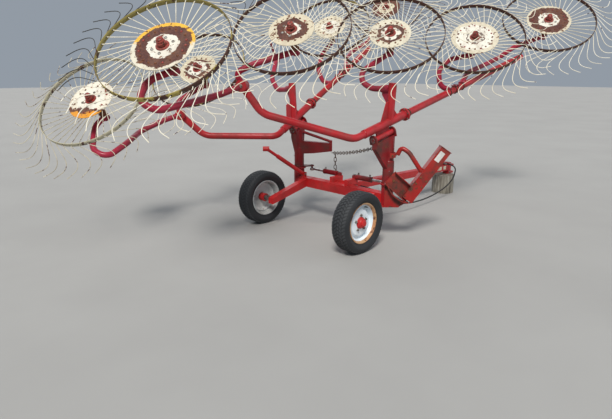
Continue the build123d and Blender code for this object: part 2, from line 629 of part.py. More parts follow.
def beam(wing):
    """Rear bent tube, the larger front sleeve up to its clamp, the post and the hinge tube below."""
    data = BEAMS[wing]
    clamp = beam_point(wing, data["clamp_x"])
    run = beam_direction(wing)
    back_end = vector(data["elbow"]) + run * SLEEVE_TUBE_OVERLAP
    rear = bent_bar(data["rear"] + [back_end], BEAM_RADIUS)
    front = bar(back_end - run * CLAMP_THICKNESS, clamp, SLEEVE_TUBE_RADIUS)
    ring = bar(clamp - run * CLAMP_THICKNESS, clamp, CLAMP_RADIUS)
    post = bar(*post_run(wing), POST_RADIUS)
    ear_first, ear_last = ear_places(wing)
    tube_start = ear_first + run * (EAR_THICKNESS / 2)
    tube_end = ear_last - run * (EAR_THICKNESS / 2)
    tube = bar(tube_start, tube_end, HINGE_TUBE_RADIUS)
    tube_bore = bar(tube_start - run * LOOSE_FIT, tube_end + run * LOOSE_FIT, HINGE_PIN_RADIUS + SEAT_GAP)
    web_plane = Plane(origin=(tube_start + tube_end) * 0.5, x_dir=run, z_dir=run.cross(Vector(0, 0, 1)))
    web_length = 0.7 * (tube_end - tube_start).length
    web = extrude(web_plane * Pos(0, HINGE_DROP / 2) * Rectangle(web_length, HINGE_DROP - HINGE_PIN_RADIUS),
                  amount=GUSSET_THICKNESS / 2, both=True)
    foot, top = post_run(wing)
    up = (top - foot).normalized()
    rib_plane = Plane(origin=foot, x_dir=run, z_dir=run.cross(up))
    rib = extrude(rib_plane * make_face(Polyline(
        (-POST_RIB_REACH, 0.0), (POST_RIB_REACH, 0.0), (20.0, POST_RIB_HEIGHT), (-20.0, POST_RIB_HEIGHT),
        close=True)), amount=GUSSET_THICKNESS / 2, both=True)
    return rear + front + ring + post + rib + web + tube + boss(wing) - tube_bore


def extension(wing):
    data = BEAMS[wing]
    run = beam_direction(wing)
    start = beam_point(wing, data["clamp_x"]) + run * SEAT_GAP
    flange = bar(start, start + run * CLAMP_THICKNESS, CLAMP_RADIUS)
    tube = bar(start, data["tip"], BEAM_RADIUS)
    return tube + flange


def fork(side):
    """Sleeve on the column's pin, the tapered plate above it and the ears that hold the hinge pin."""
    y = SIDES[side] * COLUMN_Y
    low = COLUMN_BASE_TOP + SEAT_GAP
    run = beam_direction(side)
    ear_first, ear_last = ear_places(side)
    under_tube = (HINGE_TUBE_RADIUS + LOOSE_FIT) / math.cos(math.asin(run.Z))
    sleeve = bar((CROSS_BEAM_X, y, low), (CROSS_BEAM_X, y, SLEEVE_TOP), SLEEVE_RADIUS)
    neck_top = beam_point(side, CROSS_BEAM_X - NECK_RADIUS, HINGE_DROP + under_tube).Z
    neck = bar((CROSS_BEAM_X, y, SLEEVE_TOP - 1.0), (CROSS_BEAM_X, y, neck_top), NECK_RADIUS)
    bore = bar((CROSS_BEAM_X, y, low - 5.0), (CROSS_BEAM_X, y, COLUMN_PIN_TOP + LOOSE_FIT),
               COLUMN_PIN_RADIUS + SHAFT_FIT)
    level = Vector(run.X, run.Y, 0).normalized()
    across = Vector(0, 0, 1).cross(level)
    plate_plane = Plane(origin=(CROSS_BEAM_X, y, 0), x_dir=level, z_dir=level.cross(Vector(0, 0, 1)))
    middle = Vector(CROSS_BEAM_X, y, 0)
    first_x = (Vector(ear_first.X, ear_first.Y, 0) - middle).dot(level)
    last_x = (Vector(ear_last.X, ear_last.Y, 0) - middle).dot(level)
    plate_low = SLEEVE_TOP - 2 * FORK_PLATE_HALF
    profile = Polyline(
        (-FORK_PLATE_HALF, plate_low), (FORK_PLATE_HALF, plate_low),
        (last_x, ear_last.Z - under_tube - 14.0), (last_x, ear_last.Z - under_tube),
        (first_x, ear_first.Z - under_tube), (first_x, ear_first.Z - under_tube - FORK_PLATE_EDGE),
        close=True,
    )
    plate = extrude(plate_plane * make_face(profile), amount=FORK_PLATE_THICKNESS / 2, both=True)
    solid = sleeve + neck + plate + swing_lever(side)
    for place in (ear_first, ear_last):
        ear_plane = Plane(origin=place, x_dir=across, z_dir=run)
        shape = Circle(EAR_RADIUS) + Pos(0, -EAR_RADIUS / 2) * Rectangle(2 * EAR_RADIUS, EAR_RADIUS)
        solid = solid + extrude(ear_plane * shape, amount=EAR_THICKNESS / 2 - SEAT_GAP, both=True)
    pin = bar(ear_first - run * EAR_THICKNESS, ear_last + run * EAR_THICKNESS, HINGE_PIN_RADIUS)
    solid = solid + pin
    if side == "left":
        solid = solid + tie_arm()
    return solid - bore


def facing_point(side, out, height, near=0.0):
    """Point in the upright plane through a column; out is to the front right, near to the rear right."""
    turn = math.radians(FACE_TURN)
    ahead = Vector(math.cos(turn), math.sin(turn), 0)
    return (Vector(CROSS_BEAM_X, SIDES[side] * COLUMN_Y, height) + ahead * out
            + Vector(math.sin(turn), -math.cos(turn), 0) * near)


def facing_plane(side, near=0.0):
    turn = math.radians(FACE_TURN)
    return Plane(origin=facing_point(side, 0.0, 0.0, near), x_dir=(math.cos(turn), math.sin(turn), 0),
                 z_dir=(math.sin(turn), -math.cos(turn), 0))


def tie_arm():
    """Box arm on the left fork that the tie chain is hooked to, with the short link above it."""
    plane = facing_plane("left")
    profile = Polyline(
        (0.0, TIE_ARM_Z - 82.0), (TIE_ARM_REACH * 0.45, TIE_ARM_Z - 76.0),
        (TIE_ARM_REACH, TIE_ARM_Z - TIE_ARM_END_DROP),
        (TIE_ARM_REACH, TIE_ARM_Z + 44.0), (0.0, TIE_ARM_Z + 80.0), close=True,
    )
    arm_box = extrude(plane * make_face(profile), amount=TIE_ARM_WIDTH / 2, both=True)
    lug = extrude(plane * Pos(TIE_ARM_REACH - 18.0, TIE_ARM_Z + 56.0) * Rectangle(36.0, 50.0),
                  amount=TIE_ARM_WIDTH / 2 - 12.0, both=True)
    link = bar(facing_point("left", NECK_RADIUS - 20.0, TIE_ARM_Z + 192.0),
               facing_point("left", TIE_ARM_REACH - 20.0, TIE_ARM_Z + 66.0), TIE_LINK_RADIUS)
    inner = (TIE_ARM_REACH * 0.25, TIE_ARM_Z - 62.0), (TIE_ARM_REACH - 9.0, TIE_ARM_Z - 42.0)
    pocket = Polyline(*inner, (TIE_ARM_REACH - 9.0, TIE_ARM_Z + 34.0),
                      (TIE_ARM_REACH * 0.25, TIE_ARM_Z + 58.0), close=True)
    hollow = extrude(plane * make_face(pocket), amount=TIE_ARM_WIDTH / 2 - 8.0, both=True)
    return arm_box - hollow + lug + link


def stand():
    """Welded bracket on the near column: foot plate, curved gusset, channel, slanted box and its brace."""
    foot_top = COLUMN_BASE_LOW - SEAT_GAP
    foot = extrude(facing_plane("right", -STAND_FOOT_DEPTH / 2) * Pos(12.0, foot_top - STAND_PLATE / 2)
                   * Rectangle(STAND_FOOT_WIDTH, STAND_PLATE), amount=STAND_FOOT_DEPTH + 20.0)
    near = COLUMN_FLANGE_RADIUS + LOOSE_FIT
    low_end, high_end = (207.0, 440.0), (-22.0, 640.0)
    curve = ThreePointArc(low_end, (62.0, 506.0), high_end)
    outline = curve + Polyline(high_end, (-45.0, 640.0), (-45.0, foot_top - STAND_PLATE),
                               (105.0, foot_top - STAND_PLATE), low_end)
    gusset = extrude(facing_plane("right", near) * make_face(outline), amount=STAND_PLATE)
    edge = (ThreePointArc(low_end, (62.0, 506.0), high_end) + Line(high_end, (-30.0, 632.0))
            + ThreePointArc((-30.0, 632.0), (54.0, 498.0), (199.0, 431.0)) + Line((199.0, 431.0), low_end))
    flange = extrude(facing_plane("right", near) * make_face(edge), amount=CURVED_FLANGE_WIDTH)

    channel_start, channel_end = Vector(2.0, 704.0), Vector(233.0, 503.0)
    along = channel_end - channel_start
    middle = (channel_start + channel_end) * 0.5
    turned = Pos(middle.X, middle.Y) * Rot(0, 0, math.degrees(math.atan2(along.Y, along.X)))
    channel_plane = facing_plane("right", near + STAND_PLATE) * turned
    web = extrude(channel_plane * Rectangle(along.length, CHANNEL_WIDTH), amount=CHANNEL_WALL)
    lips = [
        extrude(channel_plane * Pos(0, way * (CHANNEL_WIDTH - CHANNEL_WALL) / 2)
                * Rectangle(along.length, CHANNEL_WALL), amount=CHANNEL_DEPTH)
        for way in (1, -1)
    ]

    foot_point, top_point = (Vector(*point) for point in SLANT_ENDS)
    slant = top_point - foot_point
    slant_turn = math.degrees(math.atan2(slant.Y, slant.X))
    centre = (foot_point + top_point) * 0.5
    turned = Rot(0, 0, slant_turn)
    box_place = facing_plane("right", SLANT_NEAR) * Pos(centre.X, centre.Y) * turned
    outer = extrude(box_place * Rectangle(slant.length, SLANT_WIDTH), amount=SLANT_DEPTH)
    inner_place = facing_plane("right", SLANT_NEAR + SLANT_WALL) * Pos(centre.X, centre.Y) * turned
    inner = extrude(inner_place * Rectangle(slant.length + 2.0, SLANT_WIDTH - 2 * SLANT_WALL),
                    amount=SLANT_DEPTH - 2 * SLANT_WALL)
    cap_place = facing_plane("right", SLANT_NEAR - SLANT_CAP_RIM) * Pos(top_point.X, top_point.Y) * turned
    cap = extrude(cap_place * Rectangle(SLANT_WALL, SLANT_WIDTH + 2 * SLANT_CAP_RIM),
                  amount=SLANT_DEPTH + 2 * SLANT_CAP_RIM)

    collar_place = Pos(CROSS_BEAM_X, -COLUMN_Y, COLLAR_Z - COLLAR_HEIGHT / 2)
    collar = extrude(Circle(COLLAR_RADIUS + COLLAR_WALL) - Circle(COLLAR_RADIUS), amount=COLLAR_HEIGHT)
    half = Rot(0, 0, FACE_TURN) * Pos(COLLAR_RADIUS, 0, COLLAR_HEIGHT / 2) * Box(
        2 * COLLAR_RADIUS, 4 * COLLAR_RADIUS, 2 * COLLAR_HEIGHT)
    collar = collar_place * (collar & half)
    brace = bent_bar([
        facing_point("right", COLLAR_RADIUS + BRACE_RADIUS + 2.0, COLLAR_Z, 0.0),
        facing_point("right", 125.0, COLLAR_Z + 80.0, 12.0),
        facing_point("right", 205.0, COLLAR_Z + 30.0, 45.0),
        facing_point("right", 345.0, 745.0, SLANT_NEAR + 30.0),
    ], BRACE_RADIUS)
    solid = foot + gusset + flange + web + lips[0] + lips[1] + (outer - inner) + cap + collar + brace
    return solid.solids().sort_by(SortBy.VOLUME)[-1]


def strut():
    """Arm from the top of the cross beam's far end back and up to an empty pivot head."""
    top = CROSS_BEAM_Z + CROSS_BEAM_SIDE / 2 + SEAT_GAP
    y = COLUMN_Y - STRUT_INSET
    block = box((CROSS_BEAM_X - 52.0, CROSS_BEAM_X - 2.0), (y - STRUT_BLOCK_HALF, y + STRUT_BLOCK_HALF),
                (top, top + STRUT_BLOCK_HEIGHT))
    foot = Vector(CROSS_BEAM_X - 27.0, y, top + STRUT_BLOCK_HEIGHT / 2 + 4.0)
    end = Vector(*STRUT_HEAD)
    knee = foot + (end - foot) * 0.72
    lower = bar(foot, knee, STRUT_RADIUS)
    upper = bar(knee - (knee - foot) * 0.02, end, STRUT_RADIUS - 7.0)
    turn = math.radians(FACE_TURN)
    level = Vector(math.cos(turn), math.sin(turn), 0)
    head = bar(end - level * 42.0, end + level * 30.0, STRUT_RADIUS + 4.0)
    return block + lower + upper + head


def eight_sided(x, y, corner):
    """Face of a rectangle of 2x by 2y with its corners cut off."""
    return make_face(Polyline(
        (x, y - corner), (x - corner, y), (corner - x, y), (-x, y - corner),
        (-x, corner - y), (corner - x, -y), (x - corner, -y), (x, corner - y), close=True))


def chain_link():
    """One link lying along X."""
    outer = CHAIN_INNER_LENGTH / 2 + CHAIN_WIRE
    half = CHAIN_INNER_WIDTH / 2 + CHAIN_WIRE
    hole = eight_sided(CHAIN_INNER_LENGTH / 2, CHAIN_INNER_WIDTH / 2, CHAIN_WIRE / 2)
    return extrude(eight_sided(outer, half, CHAIN_WIRE) - hole, amount=CHAIN_WIRE / 2, both=True)


def chain_links(start, end, sag, first_turn=0.0):
    """Links from start to end on a shallow curve, each hooked into the last with a hair's gap."""
    start, end = vector(start), vector(end)
    pitch = CHAIN_INNER_LENGTH - CHAIN_GAP
    shares = [step / 400 for step in range(401)]
    samples = [
        start + (end - start) * share - Vector(0, 0, 4 * sag * share * (1 - share))
        for share in shares
    ]
    joints = [samples[0]]
    for point in samples:
        if (point - joints[-1]).length >= pitch:
            last = joints[-1]
            joints.append(last + (point - last).normalized() * pitch)
    base = chain_link()
    links = []
    for index, (low, high) in enumerate(zip(joints[:-1], joints[1:])):
        run = high - low
        side = Vector(0, 0, 1).cross(run) if abs(run.normalized().Z) < 0.95 else Vector(0, 1, 0)
        plane = Plane(origin=(low + high) * 0.5, x_dir=run, z_dir=side.cross(run))
        links.append(plane.location * Rot(90.0 * (index % 2) + first_turn, 0, 0) * base)
    return links


def tie_chain():
    """Chain from the right fork to just under the left fork's arm, with its spare end hanging."""
    half_link = CHAIN_INNER_LENGTH / 2 + CHAIN_WIRE
    hook_z = TIE_ARM_Z - TIE_ARM_END_DROP - 3 * LOOSE_FIT - CHAIN_INNER_WIDTH
    hook = facing_point("left", TIE_ARM_REACH - 6.0, hook_z)
    links = chain_links(CHAIN_START, hook, CHAIN_SAG)
    near_end = links[-3].center()
    drop = CHAIN_INNER_WIDTH / 2 + CHAIN_WIRE + CHAIN_GAP
    top = Vector(near_end.X, near_end.Y, near_end.Z - drop - half_link + CHAIN_INNER_LENGTH / 2)
    tail = chain_links(top, top - Vector(0, 0, CHAIN_TAIL), 0.0)
    return Compound(children=links + tail)


def arm_start(name, wing):
    """Point on the middle line of what carries an arm, and that piece grown by the seat gap."""
    carrier, along = ARMS[name]["from"], ARMS[name]["along"]
    if carrier == "boss":
        middle, run = boss_run(wing)
        return middle + run * along, boss(wing, SEAT_GAP)
    if carrier == "post":
        foot, top = post_run(wing)
        return top + (top - foot).normalized() * along, bar(foot, top, POST_RADIUS + SEAT_GAP)
    tube = bar(beam_point(wing, BEAMS[wing]["clamp_x"]), BEAMS[wing]["tip"], BEAM_RADIUS + SEAT_GAP)
    return beam_point(wing, along), tube


def arm(name, wing, centre):
    """Bent tube from the wing's beam to the spindle of one finger wheel, its end coped to its seat."""
    plane = wheel_plane(wing, centre)
    seat = plane.origin - plane.z_dir * ARM_PLANE
    start, carrier = arm_start(name, wing)
    tube = bent_bar([start] + ARMS[name]["bends"] + [seat], ARM_RADIUS) - carrier
    boss_front = plane.origin - plane.z_dir * (HUB_BACK + LOOSE_FIT)
    boss_back = seat - plane.z_dir * (ARM_RADIUS + SEAT_GAP)
    spindle_end = plane.origin + plane.z_dir * (HUB_NOSE - LOOSE_FIT)
    end_boss = bar(boss_back, boss_front, ARM_BOSS_RADIUS)
    spindle = bar(seat, spindle_end, SPINDLE_RADIUS)
    return tube + end_boss + spindle


def arm_group(names):
    wheels = {wheel["name"]: (wheel["wing"], wheel["centre"]) for wheel in FINGER_WHEELS}
    wheels["m"] = ("left", BARE_ARM_CENTRE)
    return Compound(children=[arm(name, *wheels[name]) for name in names])


pieces = {
    "cross_beam": cross_beam(),
    "drawbar": drawbar(),
    "hitch_head": hitch_head(),
    "drawbar_stump": stump(),
    "stand_right": stand(),
    "strut_left": strut(),
    "tie_chain": tie_chain(),
    "hose_front": hose(),
    "coupler_hose": coupler(),
}
for side_name in SIDES:
    pieces[f"wheel_arm_{side_name}"] = wheel_arm(side_name)
    pieces[f"axle_{side_name}"] = axle(side_name)
    pieces[f"column_base_{side_name}"] = column_base(side_name)
    pieces[f"tyre_{side_name}"] = tyre(side_name)
    pieces[f"rim_{side_name}"] = rim(side_name)
    pieces[f"barrel_{side_name}"] = barrel(side_name)
    pieces[f"rod_{side_name}"] = rod(side_name)
    pieces[f"beam_{side_name}"] = beam(side_name)
    pieces[f"extension_{side_name}"] = extension(side_name)
    pieces[f"fork_{side_name}"] = fork(side_name)
for node, names in ARM_NODES.items():
    pieces[node] = arm_group(names)

wheel_shapes = {}
for wheel in FINGER_WHEELS:
    kind = (wheel["plate"], wheel["wing"])
    if kind not in wheel_shapes:
        wheel_shapes[kind] = finger_wheel(*kind)
    place = wheel_plane(wheel["wing"], wheel["centre"]).location
    pieces[f"finger_wheel_{wheel['name']}"] = place * wheel_shapes[kind]

to_eye = Location((-HITCH_X, 0, -HITCH_Z))
for node, solid in pieces.items():
    export_step(to_eye * solid, f"parts/{node}.step")
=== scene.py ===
import math
import random

import bpy
from mathutils import Matrix, Vector


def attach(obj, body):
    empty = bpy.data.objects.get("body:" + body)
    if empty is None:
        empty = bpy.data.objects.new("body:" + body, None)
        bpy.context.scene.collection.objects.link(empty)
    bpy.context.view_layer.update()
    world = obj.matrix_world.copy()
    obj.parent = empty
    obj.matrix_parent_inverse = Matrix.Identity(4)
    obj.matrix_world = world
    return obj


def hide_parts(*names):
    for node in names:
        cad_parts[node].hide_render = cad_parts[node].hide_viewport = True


# Looks of a finger-wheel hay rake, folded for the road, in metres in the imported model's frame.
# Places written as in the part's source count from the ground below the axle; EYE moves them.

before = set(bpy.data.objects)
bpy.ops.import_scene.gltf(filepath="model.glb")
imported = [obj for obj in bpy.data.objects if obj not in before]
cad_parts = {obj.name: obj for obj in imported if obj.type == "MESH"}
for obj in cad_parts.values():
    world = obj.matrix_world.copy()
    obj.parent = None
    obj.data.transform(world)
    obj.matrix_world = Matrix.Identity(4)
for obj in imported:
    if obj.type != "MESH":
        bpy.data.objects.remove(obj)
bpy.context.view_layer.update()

EYE = Vector((3.16, 0.0, 0.34))
UP = Vector((0, 0, 1))
SIDES = {"left": 1.0, "right": -1.0}

# Camera of the photograph
CAMERA_PLACE = (-6.86, -3.7, 1.43)
CAMERA_HEADING = 45.0
CAMERA_PITCH = -15.7
SENSOR_WIDTH = 36.0
LENS_PIXELS = 490
PHOTO_WIDTH = 612

# The hose's route, corner by corner
HOSE_ROUTE = [
    (0.9, -0.0453, 0.428), (0.9, -0.16, 0.428), (1.01, -0.24, 0.35), (1.19, -0.275, 0.235),
    (1.42, -0.28, 0.15), (1.7, -0.272, 0.108), (1.99, -0.262, 0.096), (2.27, -0.258, 0.112),
    (2.52, -0.258, 0.158), (2.67, -0.262, 0.21), (2.79, -0.27, 0.3), (2.925, -0.215, 0.43946),
    (2.925, -0.06, 0.43946),
]
HOSE_RADIUS = 0.009

# Finger wheels: radii and angles in their own plane, the hub's axis as heading and rise
TINE_COUNT = 40
TINE_START = 0.185
TINE_LEAN = 24.0
TINE_SIDES = 6
TINE_STEPS = 8
# Points of a tine's line before it leaves the hoop
HOOP_STEP = 17
CORNER_RADIUS = 0.563
KNEE_RADIUS = 0.77
KNEE_TURN = 1.0
KNEE_DROP = 0.065
TIP_RADIUS = 0.898
TIP_TURN = 10.0
BEND_REACHES = [(0.004, 0.004), (0.035, 0.035), (0.15, 0.115)]
WIRE_RADIUS = 0.0034
RING_RADIUS = 0.55
RING_WIDTH = 0.044
RING_THICKNESS = 0.005
RING_EASE = 0.0015
HOLE_LENGTH = 0.015
HOLE_WIDTH = 0.012
CLIP_SHARE = 0.75
SEAT = 0.0033
PLATE_THICKNESS = 0.006
PLATE_RADIUS = {"large": 0.265, "middle": 0.235, "small": 0.215}
BACK_PLATE_RADIUS = 0.235
RIVETS = {"large": 20, "middle": 16, "small": 16}
RIVET_SHARE = 0.73
HUB_BOLT_RADIUS = 0.088
WHEEL_FACING = {"right": (-147, 45.5), "left": (-152, 44.5)}
# Each wheel's name, wing, plate, centre and the paint inside and outside its hoop
WHEELS = [
    ("a", "right", "large", (-1640, -60, 1960), "olive", "worn"),
    ("b", "right", "small", (-400, -210, 2140), "rust", "rust"),
    ("c", "right", "small", (740, -500, 2150), "rust", "rust"),
    ("d", "right", "large", (1915, -843, 2147), "rust", "rust"),
    ("e", "right", "large", (3213, -1169, 2402), "rust", "rust"),
    ("f", "left", "middle", (-1690, 1320, 1500), "cream", "cream"),
    ("g", "left", "small", (-450, 1300, 1800), "worn", "worn"),
    ("h", "left", "small", (1680, 1210, 2370), "worn", "rust"),
    ("i", "left", "small", (2982, 1220, 2723), "rust", "rust"),
]
WORN_WIRES = {"f": "wire_dull", "i": "wire_dark"}
# Tines of a wheel whose tips beyond the hoop are painted dark steel in one sector only, as painted shade on
# that side of the wheel
SHADE_DARK_TIPS = {"a": range(13, 23), "b": range(13, 17)}
CAP_PROFILE = [(0.034, 0.01), (0.0385, 0.03), (0.0385, 0.046), (0.034, 0.05), (0.032, 0.066),
               (0.0275, 0.07), (0.0255, 0.081), (0.018, 0.0845), (0.0, 0.0848)]

# Road wheels, as (radius, height) points about the axle, the outer side up
WHEEL_PLACE = (0.0, 0.74, 0.315)
TYRE_HALF = [(0.197, -0.06), (0.206, -0.067), (0.222, -0.078), (0.245, -0.0915), (0.266, -0.097),
             (0.284, -0.0935), (0.297, -0.085), (0.3055, -0.074), (0.3085, -0.06)]
SIDE_RINGS = [(0.2175, 0.0755), (0.262, 0.0965)]
TREAD_BLOCKS = 52
TREAD_SHARE = 0.35
TREAD_RADIUS = 0.3
TREAD_SHOULDER = 0.08
# Each row's low and high edge, its shift in blocks and its slant
TREAD_ROWS = [(-0.083, -0.052, 0.0, 0.01), (-0.046, -0.018, 0.5, -0.01), (-0.012, 0.012, 0.0, 0.0),
              (0.018, 0.046, 0.5, 0.01), (0.052, 0.083, 0.0, -0.01)]
BLOCK_FACES = [(0, 1, 3, 2), (4, 6, 7, 5), (0, 2, 6, 4), (1, 5, 7, 3), (2, 3, 7, 6), (0, 4, 5, 1)]
SIDE_LUGS = 72
LUG_FACES = [(0, 1, 2, 3), (4, 7, 6, 5), (0, 4, 5, 1), (1, 5, 6, 2), (2, 6, 7, 3), (3, 7, 4, 0)]
RIM_LIP = [(0.205, 0.0655), (0.2095, 0.069), (0.2085, 0.0725), (0.203, 0.0735), (0.197, 0.0705),
           (0.1935, 0.065)]

# Wings, columns, cylinders and stand, in mm
BEAMS = {
    "right": {"elbow": (50, -620, 1130), "tip": (3130, -900, 1960), "ears": (330, 610),
              "arm": (550, -580, 1600), "clamps": (1620, 1760), "post": (560, -690, 1660),
              "rear": ((-720, 140, 1640), (-600, 0, 1380))},
    "left": {"elbow": (140, 630, 1040), "tip": (2150, 878, 2090), "ears": (440, 640),
             "arm": (500, 850, 1560), "clamps": (1420, 1560), "post": (462, 700, 1640),
             "rear": ((-645, 1420, 1290), (-430, 1270, 1040))},
}
BEAM_CLAMP_X = 800
# Each side of the clamp: its way along the beam, its face and the bolts that it has of six
CLAMP_FACES = [(-1, 0.012, range(6)), (1, 0.0123, (0, 1, 3, 4))]
CLAMP_BOLT_REACH = 0.0565
CLAMP_TURN = 0.3
STRAP_PLACE = 0.034
STRAP_WIDTH = 0.016
STRAP_RADIUS = 0.0425
# Weld beads on a beam: what they count from, how far along, radius and wire
BEAM_BEADS = [("clamp", -0.0135, 0.0465, 0.0035), ("clamp", 0.0145, 0.039, 0.003),
              ("elbow", 0.138, 0.0385, 0.0035)]
POST_SIDE = 0.0415
ARM_SLEEVE = [(0.0305, 0.036), (0.038, 0.036), (0.038, 0.125), (0.0305, 0.127)]
GUSSET = [(0.036, 0.026), (0.036, 0.19), (0.052, 0.19), (0.124, 0.06), (0.124, 0.026)]
GUSSET_HALF = 0.006
CLAMP_BAND_REACH = 0.052
CLAMP_BAND_RADIUS = 0.041
BOSS_HALF = 0.075
BOSS_CAP = [(0.051, 0.0), (0.051, 0.003), (0.046, 0.004), (0.0, 0.004)]
EAR_DROP = 0.112
EAR_FACE = 0.0085
COLUMN_X = 560
COLUMN_Y = 680
CYLINDER_X = 690
CYLINDER_BASE_Y = 115
CYLINDER_Z = 585
# Bolts on both sides of the frame and single ones: place, way that the head faces and size in m
PAIRED_BOLTS = [
    ((629.2, 78, 382), (1, 0, 0), 0.012), ((629.2, 78, 518), (1, 0, 0), 0.012),
    ((430, 565.2, 476), (0, 1, 0), 0.01), ((430, 565.2, 424), (0, 1, 0), 0.01),
    ((3046, 48.2, 300), (0, 1, 0), 0.013), ((3046, 48.2, 420), (0, 1, 0), 0.013),
]
SINGLE_BOLTS = [((507.8, 575, 538), (-1, 0, 0), 0.013), ((533, 545.8, 545), (0, -1, 0), 0.013)]
# Bolts and bands on the drawbar's sides, the bands with their length in m
DRAWBAR_BOLTS = (700, 820)
DRAWBAR_BANDS = [(2720, 0.185), (2900, 0.072)]
DRAWBAR_SIDE = 45.2
DRAWBAR_START = (615, 450)
DRAWBAR_RUN = (2395, -75.0)
STAND_TURN = -45.0
STAND_BOX_FOOT = (188, 468)
STAND_BOX_RUN = (372, 534)
STAND_BOX_FACE = 162.2

# Chain
CHAIN_PITCH = 0.046
CHAIN_WIDTH = 0.031
CHAIN_WIRE = 0.0082
CHAIN_SAG = 0.088
CHAIN_ENDS = ((358, -618, 1008), (842, 391, 794))

# Stump
STUMP_X = 2960
STUMP_HEIGHT = 0.2747
STUMP_RADIUS = 0.1555
STUMP_EASE = 0.003
STUMP_DIP = 0.002
STUMP_SEGMENTS = 160
STUMP_ROWS = 14
STUMP_TOP_SHARES = [1.0, 0.93, 0.7, 0.4, 0.12]

LIGHT_AIM = (-2.4, 0.0, 1.2)
FLOOR_REACH = 60.0


def new_object(name, data):
    thing = bpy.data.objects.new(name, data)
    bpy.context.scene.collection.objects.link(thing)
    return thing


def aim(thing, way):
    thing.rotation_mode = "QUATERNION"
    thing.rotation_quaternion = way.to_track_quat("-Z", "Y")


def make_camera():
    camera = new_object("camera", bpy.data.cameras.new("camera"))
    camera.data.sensor_width = SENSOR_WIDTH
    camera.data.lens = SENSOR_WIDTH * LENS_PIXELS / PHOTO_WIDTH
    camera.data.clip_start = 0.05
    camera.data.clip_end = 200
    heading, pitch = math.radians(CAMERA_HEADING), math.radians(CAMERA_PITCH)
    level = math.cos(pitch)
    camera.location = CAMERA_PLACE
    aim(camera, Vector((level * math.cos(heading), level * math.sin(heading), math.sin(pitch))))
    bpy.context.scene.camera = camera


def make_hose():
    curve = bpy.data.curves.new("hose_line", "CURVE")
    curve.dimensions = "3D"
    spline = curve.splines.new("NURBS")
    spline.points.add(len(HOSE_ROUTE) - 1)
    for point, place in zip(spline.points, HOSE_ROUTE):
        point.co = (*(Vector(place) - EYE), 1.0)
        point.radius = HOSE_RADIUS
    spline.order_u = 3
    spline.use_endpoint_u = True
    curve.resolution_u = 20
    curve.bevel_depth = 1.0
    curve.bevel_resolution = 5
    curve.use_fill_caps = True
    hose = new_object("hose_line", curve)
    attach(hose, "frame")
    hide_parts("hose_front")
    return hose


make_camera()
hose_piece = make_hose()


# Materials
class Nodes:
    """Short hand for one material's node tree."""

    def __init__(self, name, roughness=0.5, metallic=0.0):
        self.material = bpy.data.materials.new(name)
        self.material.use_nodes = True
        self.tree = self.material.node_tree
        self.shader = self.tree.nodes["Principled BSDF"]
        self.shader.inputs["Roughness"].default_value = roughness
        self.shader.inputs["Metallic"].default_value = metallic
        self.coordinates = self.node("TexCoord").outputs["Object"]

    def node(self, kind, **values):
        """New node of a kind, with its named inputs set."""
        node = self.tree.nodes.new("ShaderNode" + kind)
        for key, value in values.items():
            node.inputs[key].default_value = value
        return node

    def link(self, output, socket):
        self.tree.links.new(output, socket)

    def feed(self, node, values):
        """Sets inputs of a node to numbers or colours, or links outputs to them."""
        for index, value in values.items():
            if isinstance(value, float):
                node.inputs[index].default_value = value
            elif isinstance(value, tuple):
                node.inputs[index].default_value = (*value, 1.0)
            else:
                self.link(value, node.inputs[index])
        return node.outputs

    def mapped(self, source, **values):
        return self.feed(self.node("Mapping", **values), {"Vector": source})["Vector"]

    def noise(self, scale, detail=4.0, roughness=0.55, stretch=None):
        source = self.mapped(self.coordinates, Scale=stretch) if stretch else self.coordinates
        node = self.node("TexNoise", Scale=scale, Detail=detail, Roughness=roughness)
        return self.feed(node, {"Vector": source})["Fac"]

    def ramp(self, factor, stops):
        node = self.node("ValToRGB")
        elements = node.color_ramp.elements
        while len(elements) < len(stops):
            elements.new(0.5)
        for element, (place, colour) in zip(elements, stops):
            element.position = place
            element.color = (*colour, 1.0)
        return self.feed(node, {"Fac": factor})["Color"]

    def shade(self, factor, paint):
        """A colour as it is, or a list of stops as a ramp."""
        return self.ramp(factor, paint) if isinstance(paint, list) else paint

    def step(self, factor, low, high):
        """Grey ramp from 0 at low to 1 at high."""
        node = self.node("MapRange", **{"From Min": low, "From Max": high})
        return self.feed(node, {"Value": factor})["Result"]

    def mix(self, factor, first, second):
        node = self.node("Mix")
        node.data_type = "RGBA"
        return self.feed(node, {0: factor, 6: first, 7: second})[2]

    def join(self, first, second, operation="MULTIPLY"):
        node = self.node("Math")
        node.operation = operation
        return self.feed(node, {0: first, 1: second})[0]

    def bump(self, height, strength, distance):
        node = self.node("Bump", Strength=strength, Distance=distance)
        self.link(self.feed(node, {"Height": height})["Normal"], self.shader.inputs["Normal"])

    def colour(self, output):
        self.link(output, self.shader.inputs["Base Color"])

    def rough(self, factor, low, high):
        node = self.node("MapRange", **{"To Min": low, "To Max": high})
        self.link(self.feed(node, {"Value": factor})["Result"], self.shader.inputs["Roughness"])


RUST = [(0.25, (0.045, 0.014, 0.008)), (0.5, (0.13, 0.045, 0.02)), (0.72, (0.26, 0.1, 0.035))]
DARK_RUST = [(0.25, (0.03, 0.012, 0.009)), (0.5, (0.075, 0.028, 0.018)), (0.75, (0.15, 0.058, 0.03))]
DIRT = (0.055, 0.034, 0.026)


